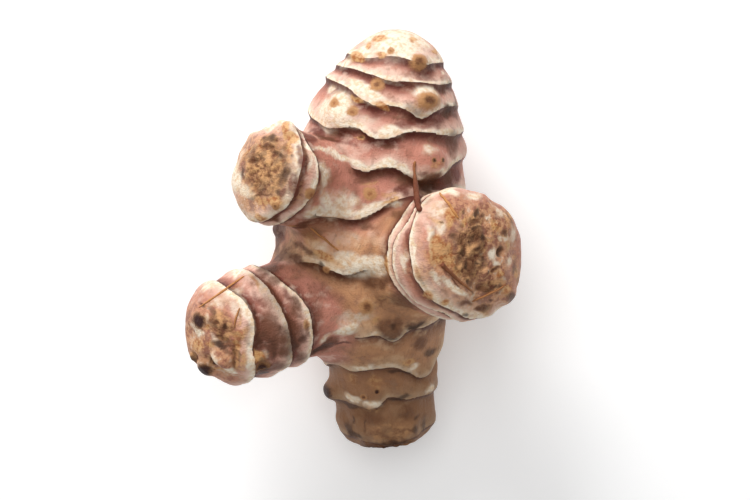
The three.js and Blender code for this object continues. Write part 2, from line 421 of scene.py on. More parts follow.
# %% A ring
class Ring:
    """A lip round a limb: (angle, distance from the tip) stops and the height of its step."""

    def __init__(self, step, stops):
        self.step = step
        self.stops = sorted(stops)

    def at(self, angle):
        """The lip's distance from the limb's tip at each angle."""
        angles, distances = np.transpose(self.stops)
        angles = np.concatenate([angles - 360, angles, angles + 360])
        return smooth_through(angles, np.tile(distances, 3), angle)


trunk.rings = [
    Ring(0.9, [(-160, 7), (-120, 6.5), (-85, 6), (-52, 5.7), (-32, 6.6), (-19, 6.3), (-6, 5.2),
               (15, 5.2), (37, 6.4), (75, 7.7), (110, 7.5), (150, 6.6)]),
    Ring(1.1, [(-170, 11), (-130, 10.4), (-84, 10.3), (-61, 10.1), (-30, 9.6), (-8, 9.7),
               (6, 9.9), (20, 9.6), (34, 9.5), (67, 10.4), (100, 11), (140, 11.4)]),
    Ring(1.3, [(-170, 16), (-130, 16), (-82, 15.1), (-51, 14.5), (-38, 15.6), (-27, 17.2),
               (-18, 16.4), (-8, 15.4), (2, 15.2), (11, 16.1), (20, 15.5), (33, 14.5), (50, 13.5),
               (75, 13.8), (105, 15), (140, 16.5)]),
    Ring(1.4, [(-165, 23.5), (-120, 22.6), (-73, 21.2), (-47, 21.1), (-32, 20.2), (-15, 20.6),
               (-3, 22.6), (10, 22.8), (20, 21.6), (33, 22.4), (42, 23.2), (58, 22.6),
               (80, 22), (110, 22), (145, 23)]),
    Ring(1.5, [(-160, 31.5), (-110, 30), (-75, 28.4), (-57, 29.2), (-43, 31.6), (-32, 32.5),
               (-20, 31.5), (-9, 29.7), (2, 29.9), (12, 31.1), (21, 30.4), (28, 29),
               (36, 28.5), (50, 27.2), (65, 26.4), (90, 28), (130, 32)]),
    Ring(1.4, [(-170, 43), (-120, 39), (-70, 36), (-40, 35.5), (-22, 36.5), (-8, 38), (0, 41.2),
               (6, 43.2), (14, 44.4), (22, 44.3), (31, 45.3), (45, 46), (80, 46.7), (115, 47),
               (150, 46)]),
    Ring(1.4, [(-165, 60), (-120, 63), (-75, 66), (-45, 64.5), (-26, 62), (-16, 58.6),
               (-9, 54.6), (-2, 53.5), (6, 53.9), (13, 54.5), (23, 53.5), (32, 52.5), (46, 52),
               (75, 55), (120, 58)]),
    Ring(0.9, [(-165, 72), (-120, 73), (-80, 72), (-54, 71), (-36, 70.4), (-20, 69.6),
               (-8, 71), (3, 68.2), (14, 67.6), (26, 66.5), (37, 68), (60, 71), (100, 73),
               (145, 73)]),
    Ring(1.2, [(-165, 82), (-120, 81), (-65, 80), (-50, 83.2), (-40, 83.6), (-28, 81),
               (-12, 78.7), (4, 78.5), (18, 79.2), (32, 79.5), (42, 78.5), (74, 81.8),
               (110, 82), (150, 81.5)]),
    Ring(1.0, [(-165, 91), (-110, 91.5), (-70, 90.7), (-46, 89.8), (-20, 89), (-4, 87.8),
               (6, 89.8), (15, 91.2), (28, 90.6), (41, 90), (67, 90), (110, 91), (150, 91.5)]),
    Ring(0.5, [(-160, 99), (-100, 99.4), (-30, 100.4), (0, 101), (30, 99.8), (90, 99.2),
               (140, 99)]),
]
shoulder.rings = [
    Ring(1.0, [(-160, 4.5), (-90, 4.2), (-20, 4.6), (17, 4.7), (68, 3.8), (93, 3.4), (117, 3.8),
               (160, 4.1)]),
    Ring(0.9, [(-150, 8.6), (-80, 8.6), (0, 6.8), (49, 5.7), (78, 7.2), (95, 7.8), (120, 7.7),
               (160, 7.6)]),
]
right.rings = [
    Ring(0.9, [(-160, 3.9), (-137, 4.4), (-116, 5.8), (-100, 6.7), (-81, 8), (-69, 8.7),
               (-30, 9.8), (20, 9), (80, 8), (140, 6)]),
    Ring(1.0, [(-165, 6.8), (-143, 6.6), (-134, 9.8), (-122, 12.6), (-103, 14.5), (-75, 14.3),
               (-55, 11.5), (-31, 11.5), (-5, 13.2), (50, 13.5), (110, 12.5), (150, 10)]),
    Ring(0.6, [(-170, 11.5), (-140, 13.5), (-110, 17.4), (-75, 17.2), (-40, 15.4), (0, 17.5),
               (60, 19), (130, 17)]),
]
left.rings = [
    Ring(1.1, [(-150, 10), (-80, 9.6), (-10, 9.2), (29, 9.3), (57, 10.3), (69, 10.3), (82, 9.6),
               (95, 8.4), (130, 8.8)]),
    Ring(1.2, [(-150, 17.5), (-80, 16.8), (0, 16.4), (38, 16.3), (60, 17.1), (86, 17.5),
               (129, 17.2)]),
    Ring(1.0, [(-150, 24), (-70, 22), (10, 19.6), (34, 20.2), (55, 22), (84, 24.3),
               (112, 23.4), (150, 23.4)]),
]
under.rings = [
    Ring(0.6, [(-150, 4.5), (-60, 5.5), (20, 4.4), (90, 5.6)]),
    Ring(0.8, [(-120, 9.5), (-30, 11), (60, 9.4), (140, 11.2)]),
]
print("rings:", [len(limb.rings) for limb in limbs])


# %% Noise for shaping
def ripple(points, size, shift=0.0, octaves=1):
    """Smooth noise between about -1 and 1, with features about size mm wide."""
    moved = (points / size + shift).tolist()
    if octaves == 1:
        return np.array([noise.noise(p) for p in moved])
    fading, shrinking = 0.9, 2.1  # how each finer layer gets weaker and smaller
    return np.array([noise.fractal(p, fading, shrinking, octaves) for p in moved])


wide_teeth, small_teeth = 0.38, 0.1
jag = (wide_teeth * ripple(skin_points, 4.6, 11.3)
       + small_teeth * ripple(skin_points, 2.4, 4.7))
print("the lips' edges wander by", round(float(np.ptp(jag)), 2), "mm")


# %% Where each point lies between the rings
def between_rings(limb, s, angle):
    """The number of lips above a point, the distance past the last and to the next, in mm."""
    far = 40.0  # past the last lip there is no next one near
    lips = [ring.at(angle) + jag for ring in limb.rings]
    lips = np.sort(np.stack([np.zeros_like(s), *lips, np.full_like(s, s.max() + far)]), 0)
    count = (s[None] > lips[1:-1]).sum(0)
    rows = np.arange(len(s))
    return count, np.maximum(s - lips[count, rows], 0), lips[count + 1, rows] - s


waist_fold, fold_reach, fold_pull = on_top(-8, 7.2), (6.5, 3.2, 8), 11


def limb_shares(points, reach=1.3):
    """How much each limb shapes a point: the nearest one most, and evenly where two melt."""
    fields = np.stack([limb.field(points) for limb in limbs])
    # by the waist the trunk's lip runs on over the foot of the shoulder knob
    away = (points - waist_fold) / fold_reach
    fields[0] -= fold_pull * np.exp(-(away**2).sum(1))
    shares = np.exp(-(fields - fields.min(0)) / reach)
    return shares / shares.sum(0)


# %% Pull the net onto the lips
def snapped(points, edges, longest=1.6, farthest=0.45, least_share=0.6):
    """Where an edge of the net crosses a lip, its nearer end slides along the limb onto it."""
    for limb, share in zip(limbs, limb_shares(points)):
        if not limb.rings:
            continue
        s, _, angle = limb.locate(points)
        _, past, before = between_rings(limb, s, angle)
        to_lip = np.where(before < past, before, -past)
        ends = to_lip[edges]
        crosses = (ends[:, 0] * ends[:, 1] < 0) & (np.abs(ends).sum(1) < longest)
        nearer = np.where(np.abs(ends[:, 0]) < np.abs(ends[:, 1]), edges[:, 0], edges[:, 1])
        chosen = np.zeros(len(points), bool)
        chosen[nearer[crosses]] = True
        chosen &= (share > least_share) & (s > 1) & (np.abs(to_lip) < farthest)
        points = points + np.where(chosen, to_lip, 0)[:, None] * limb.along(s)[1]
    return points


skin_points, skin_normals = onto_skin(snapped(skin_points, skin_edges))
shares = limb_shares(skin_points)
print("trunk's share of the skin:", round(float(shares[0].mean()), 2))


# %% The steps
def step_shape(limb, past, before, count, drop_width=1.5):
    """Height over the plain skin at a place between two lips."""
    edge_round, edge_width = 0.28, 0.7  # how much lower the lip's rounded edge is, and how wide
    hollow_deep, hollow_width = 0.5, 2.6  # the hollow under the last lip
    steps = np.array([0.0] + [ring.step for ring in limb.rings] + [0.0])
    last, crest = steps[count], steps[count + 1]
    grown = past / (past + before)
    height = crest * (grown**1.2 - edge_round * np.exp(-before / edge_width))
    height -= hollow_deep * last * np.exp(-past / hollow_width)
    t = np.where(count > 0, np.clip(1 - past / drop_width, 0, 1), 0)
    return height + ((1 - edge_round) * last - height) * t**2 * (3 - 2 * t)


def lip_turn(past, before, count, widest=12.0):
    """The way from one lip to the next as a turn, so that it has no jump, and its length in mm."""
    past = np.where(count > 0, past, widest)
    gap = np.minimum(past + before, widest)
    share = np.where(past < before, np.minimum(past / gap, 0.5),
                     1 - np.minimum(before / gap, 0.5))
    turn = share * 2 * math.pi
    return np.stack([np.cos(turn), np.sin(turn), gap], 1)


# %% Steps and lip places of the whole skin
no_lip = (-1, 0, 12.0)  # halfway between two lips that are far apart
worn_length = 6
steps_height = np.zeros(len(skin_points))
lip_place = np.zeros_like(skin_points)
lengthwise = np.zeros_like(skin_points)
tipward = np.zeros(len(skin_points))
for limb, share in zip(limbs, shares):
    s, off, angle = limb.locate(skin_points)
    if limb.rings:
        count, past, before = between_rings(limb, s, angle)
        steps_height += share * step_shape(limb, past, before, count)
        lip_place += share[:, None] * lip_turn(past, before, count)
    else:
        lip_place += share[:, None] * no_lip
    if limb is not trunk:
        tipward = np.maximum(tipward, share * np.exp(-np.maximum(s, 0) / worn_length))
    lengthwise += share[:, None] * limb.along(s)[1]
lengthwise /= np.linalg.norm(lengthwise, axis=1)[:, None]
print("steps reach", round(steps_height.min(), 2), "to", round(steps_height.max(), 2), "mm")

# %% Painted shade in the nooks, where two limbs meet
nook_reach = 2.4
nearest_two = np.sort(np.stack([limb.field(skin_points) for limb in limbs]), 0)[:2]
nook = np.exp(-(nearest_two[1] - nearest_two[0]) / nook_reach)
print("nooks cover", round(float((nook > 0.5).mean()) * 100, 1), "% of the skin")

# %% [markdown]
# ## Spots
# Everything that sits at one place on the skin is a spot: a swelling, a bud, a stain or a patch
# of cork. A spot on the upper side is placed in plan, in mm east and north, and may be stretched
# and turned. A spot on the sides or underneath is placed by how far from its limb's tip it is,
# and at which angle round the limb. One size makes a round spot, and two make an oval.


# %% A spot
class Spot:
    """A soft round or oval place on the skin."""

    def __init__(self, centre, length, width=None, turn=0, strength=1.0):
        self.centre = centre
        self.length, self.width = length, width or length
        self.turn = math.radians(turn)
        self.strength = strength

    def reach(self, points):
        """The distance from the centre, with the spot's edge at 1."""
        away = points - self.centre
        x = away[:, 0] * math.cos(self.turn) + away[:, 1] * math.sin(self.turn)
        y = away[:, 1] * math.cos(self.turn) - away[:, 0] * math.sin(self.turn)
        depth = max(self.length, self.width)
        steep = 0.3  # height counts less, so that a spot keeps its plan on a slope
        return np.sqrt((x / self.length) ** 2 + (y / self.width) ** 2
                       + (away[:, 2] / depth) ** 2 * steep)

    def cover(self, points, fullness=1.3):
        """1 in the middle, 0 from the edge on."""
        t = np.clip(fullness * (1 - self.reach(points)), 0, 1)
        return self.strength * t**2 * (3 - 2 * t)


def top(x, y, *size, **more):
    return Spot(on_top(x, y), *size, **more)


def side(limb, s, angle, *size, **more):
    return Spot(at_side(limb, s, angle), *size, **more)


def strongest(spots, points):
    return np.max([spot.cover(points) for spot in spots], 0)


print("a spot covers", top(0, 0, 5).cover(on_top(0, 0)[None]), "of its own centre")

# %% Where the rings fade
calm = strongest([
    top(6, 44, 7, 2.5, strength=0.5), side(trunk, 16, -95, 9, strength=0.55),
    side(trunk, 28, -90, 9, strength=0.6), side(trunk, 49, 88, 6, strength=0.5),
    top(-14, 2.5, 5, 5, strength=0.9), top(-15, -1.5, 7, 5, strength=1.0),
    top(16, 11.5, 3, 3, strength=0.5), side(trunk, 38, 128, 6, strength=0.9),
], skin_points)
height = steps_height * (1 - calm)
print("the rings fade on", round(float((calm > 0.3).mean()) * 100, 1), "% of the skin")

# %% Swellings and hollows: rise, place, half length, half width and turn of each
swellings_on_top = [
    # on the head: the left shoulder, under each bud, and the mound over the waist
    (1.5, -2, 32.5, 5.5, 6.5), (1.9, 16.5, 34.3, 5.2, 4.2), (1.1, 15.2, 43, 4, 3.4),
    (0.9, 0.3, 43.6, 3, 3), (0.8, 20.7, 40.6, 2.2), (1.7, 18, 20.5, 5, 4.6), (0.4, 6, 37.8, 2.6),
    (0.5, 22, 27.5, 2.5, 1.5),
    # hollows under them
    (-0.6, 16.5, 39.9, 4.5, 1.6), (-0.7, 14.5, 29.3, 5, 1.8), (-1.1, 17.5, 14.2, 5, 2.6),
    (-0.7, -3, 26, 4.5, 2),
    # on the waist and towards the foot
    (0.5, -4.5, 10, 4, 4), (0.5, 3, -3.5, 6, 3), (0.8, -1.5, -19, 5, 2.2, 12),
    (0.5, 9, -20.5, 4, 3), (-1.1, -7, -24.8, 3.6, 1.6, 38), (0.7, 4.8, -38.6, 3.2, 1.8),
    (0.5, 0, -37.5, 3, 1.6, -25), (0.8, 18, -35.4, 2.2),
    # on the knobs
    (0.7, -30.3, -16.3, 4, 3.4), (1.2, -20.8, -25, 3.6, 3.2), (0.7, -29.5, -24.5, 3.5, 2.2, -35),
    (-1.2, -29, -21.3, 4.4, 1.3, -22), (1.1, -14.3, 27.4, 2, 2.4), (0.5, -17, 10.6, 2.4),
    (0.7, -20.3, 8.4, 2), (0.9, 36, -10.5, 3), (-0.4, 20.5, -3, 3, 1.2, -45),
    (0.2, -14.8, 28, 2.2, 3), (-1.3, -20, 28, 4.5, 2.6, 25), (-0.7, -24, 24, 3, 2, 45),
    (0.3, -22.5, 7.5, 2.4, 1.6), (0.5, -26.8, 16, 2, 4), (0.9, 37, 7.5, 2.4, 3, 20),
    (-0.6, 38, 0, 2, 3), (-0.7, 33, 11, 3, 1.8, -30), (0.6, 24, 13, 4, 2),
    (-1.0, 17, 12.3, 2.6, 3), (0.5, 29, 5.5, 2.6, 3), (-0.5, 30, -8, 3.4, 1.6, 15),
    (-0.8, 33.5, -13, 2, 2), (0.5, 26, -15, 3, 1.6), (0.5, -33, -9.5, 3, 2, 35),
    (-0.5, -37.5, -20, 1.8, 3), (1.3, -30, -25.6, 4.2, 1.5, -42), (-0.9, -26.8, -25, 1.1, 3.4),
    (0.5, -24.5, -24.5, 1.8, 4), (-0.6, -25, -30, 5, 2), (-0.5, -33, -25.5, 2.4, 1.6),
    (-1.0, -28.3, -23.2, 4, 1.2, -40), (-0.6, -32.4, -27.8, 3, 1.1, -45),
]
swellings_at_side = [
    (1.6, trunk, 89.2, 77, 4), (0.7, trunk, 84, -62, 4), (1.2, left, 0.9, 168, 3.4),
    (-1.5, left, 4, 175, 10), (-1.5, left, 15, 175, 10), (-1.2, left, 24, 170, 8),
    (0.8, trunk, 51, 88, 5), (-0.9, trunk, 99, -50, 3.5), (0.5, trunk, 98, 10, 3),
    (-0.7, trunk, 101, 45, 3), (-0.5, trunk, 95, -20, 3, 2), (0.6, trunk, 96, 70, 3),
    (0.5, trunk, 93, 40, 2.6), (0.5, trunk, 86, 10, 3), (-0.4, trunk, 86, -30, 2.5),
    (1.2, trunk, 24, 165, 7), (1.1, trunk, 66, -140, 6), (1.0, trunk, 13, 150, 5),
    (0.9, trunk, 28, -110, 5), (0.9, trunk, 75, 150, 5), (0.9, right, 11, 100, 6),
    (0.9, left, 14, -60, 6), (0.8, trunk, 50, 120, 6),
]
swellings = [top(x, y, *size, strength=rise) for rise, x, y, *size in swellings_on_top]
swellings += [side(limb, s, angle, *size, strength=rise)
              for rise, limb, s, angle, *size in swellings_at_side]
for swelling in swellings:
    height += swelling.cover(skin_points)
print(len(swellings), "swellings")


# %% Buds
class Bud:
    """A low mound with a sunk core; dark is how dark the core is, and wide how far it reaches."""

    steepness, core_depth = 0.9, 0.16

    def __init__(self, spot, rise, dark, wide=0.3):
        self.spot, self.rise, self.dark, self.wide = spot, rise, dark, wide


buds = [
    Bud(top(15, 42.6, 1.9, 1.7), 0.6, 0.6, 0.35), Bud(top(9.2, 45.5, 0.9), 0.2, 0.5),
    Bud(top(6, 37.8, 1.8, 1.6), 0.35, 0.5), Bud(top(16.6, 33.7, 2.7, 2.3), 1.0, 0.7, 0.32),
    Bud(top(-2.8, 33.1, 1.1), 0.2, 0.1), Bud(top(0.7, 31.4, 1.1), 0.2, 0.15),
    Bud(top(17.8, 20.7, 0.65), 0.2, 0.9, 0.6), Bud(top(19.9, 20.7, 0.65), 0.2, 0.9, 0.6),
    Bud(top(4.3, 12.8, 1.7), 0.5, 0.15), Bud(top(3.5, -13.5, 1.8), 0.6, 0.55, 0.42),
    Bud(top(-5.7, -5, 0.9), 0.35, 0.1), Bud(top(6, -35.3, 0.7), 0.2, 1.0, 0.7),
    Bud(top(3, -37, 0.8), 0.2, 0.7, 0.5), Bud(top(-9.7, 13.4, 1.3), 0.5, 0.2),
    Bud(top(-17, 10.6, 0.9), 0.3, 0.5), Bud(top(-35, -16.6, 1.9), 0.5, 1.0, 0.8),
    Bud(side(left, 0.9, 168, 2.0), 0.6, 1.0, 0.8), Bud(top(-31.8, -26.2, 0.9), 0.2, 0.9, 0.7),
    Bud(top(-21, -26.6, 1.7, 1.4), 0.3, 0.95, 0.7), Bud(side(trunk, 89.2, 77, 2.4), 0.5, 1.0, 0.9),
    Bud(side(trunk, 24, 165, 2.4), 0.9, 0.8), Bud(side(trunk, 66, -140, 2.2), 0.8, 0.7),
    Bud(side(trunk, 13.2, 150, 2.2), 0.8, 0.8), Bud(side(trunk, 28, -110, 2.0), 0.6, 0.6),
    Bud(side(trunk, 75, 150, 1.8), 0.5, 0.7), Bud(side(trunk, 40, -150, 2.0), 0.6, 0.5),
    Bud(side(right, 11, 100, 2.4), 0.9, 0.7), Bud(side(left, 14, -60, 2.0), 0.7, 0.7),
    Bud(side(shoulder, 6.5, -70, 1.6), 0.5, 0.6), Bud(side(trunk, 50, 120, 1.9), 0.6, 0.5),
]
nowhere_near = 9.0
bud_reach = np.full(len(skin_points), nowhere_near)
bud_dark = np.zeros(len(skin_points))
bud_wide = np.full(len(skin_points), 0.3)
for bud in buds:
    away = bud.spot.reach(skin_points)
    core_reach = 0.5 * bud.wide + 0.15
    height += bud.rise * np.exp(-bud.steepness * away**2)
    height -= bud.core_depth * bud.spot.length * np.exp(-((away / core_reach) ** 2))
    nearer = away < bud_reach
    bud_reach = np.where(nearer, away, bud_reach)
    bud_dark = np.where(nearer, bud.dark, bud_dark)
    bud_wide = np.where(nearer, bud.wide, bud_wide)
print(len(buds), "buds")

# %% [markdown]
# ## Cork and stains
# The blunt knob ends are old breaks healed over with rough cork, sunk a little under the skin's
# edge. Everywhere else, age and soil tint the skin: cream where it is freshly rubbed, tan over
# healed scrapes, brown where earth stuck, and dark red-brown and nearly black stains. Painted
# light and shade go in with them: painted highlights among the cream, and painted shade in the
# dark tints, in hollows, under swellings, in grooves and on the sides turned from the lamp. Each
# tint is a soft mask on the mesh, and the material breaks its edge up with noise.

# %% Cork
near_foot = np.array([95.0])
foot_middle, footward = (value[0] for value in trunk.along(near_foot))
foot_end = first_skin(foot_middle, footward)
cork_spots = [
    top(-19.6, 18.8, 8.0, 8.4), top(-16.5, 24.5, 4, 3), top(27.2, 0, 5.8, 10.2, turn=-4),
    top(28.9, 7.6, 3.4, 3.0), top(30.5, -6, 4.5, 5.5), top(-30.5, -17, 4.0, 4.6, strength=0.8),
    side(under, 0.5, 40, 7), side(right, 0.5, 20, 5, strength=0.7), Spot(foot_end, 12),
    top(-36.4, -25.6, 2.4), top(-20.8, -26.4, 2.6),
]
cork_edge, edge_width = 0.2, 0.5
cork = strongest(cork_spots, skin_points) + 0.3 * ripple(skin_points, 3.0, 2.0, 2)
cork = np.clip((cork - cork_edge) / edge_width, 0, 1)
print("cork covers", round(float(cork.mean()) * 100, 1), "% of the skin")

# %% Rough cork and the skin's small unevenness
flake_stretch, cork_sunk = (1, 1.5, 1), 0.3
flakes = np.abs(ripple(skin_points * flake_stretch, 3.6, 7.0, 3))
height += cork * (0.8 * flakes - cork_sunk + 0.22 * ripple(skin_points, 1.5, 3.0, 2))
knobbly = 0.4 + 0.5 * (1 - shares[0])
height += knobbly * (ripple(skin_points, 11.0, 1.0) + 0.5 * ripple(skin_points, 4.6, 3.0))
height += 0.08 * ripple(skin_points, 1.7, 9.0, 2)
pit, pit_depth = top(34.4, -0.5, 1.3, 1.5), 1.6
height -= pit_depth * pit.cover(skin_points)
print("relief now runs from", round(height.min(), 2), "to", round(height.max(), 2), "mm")
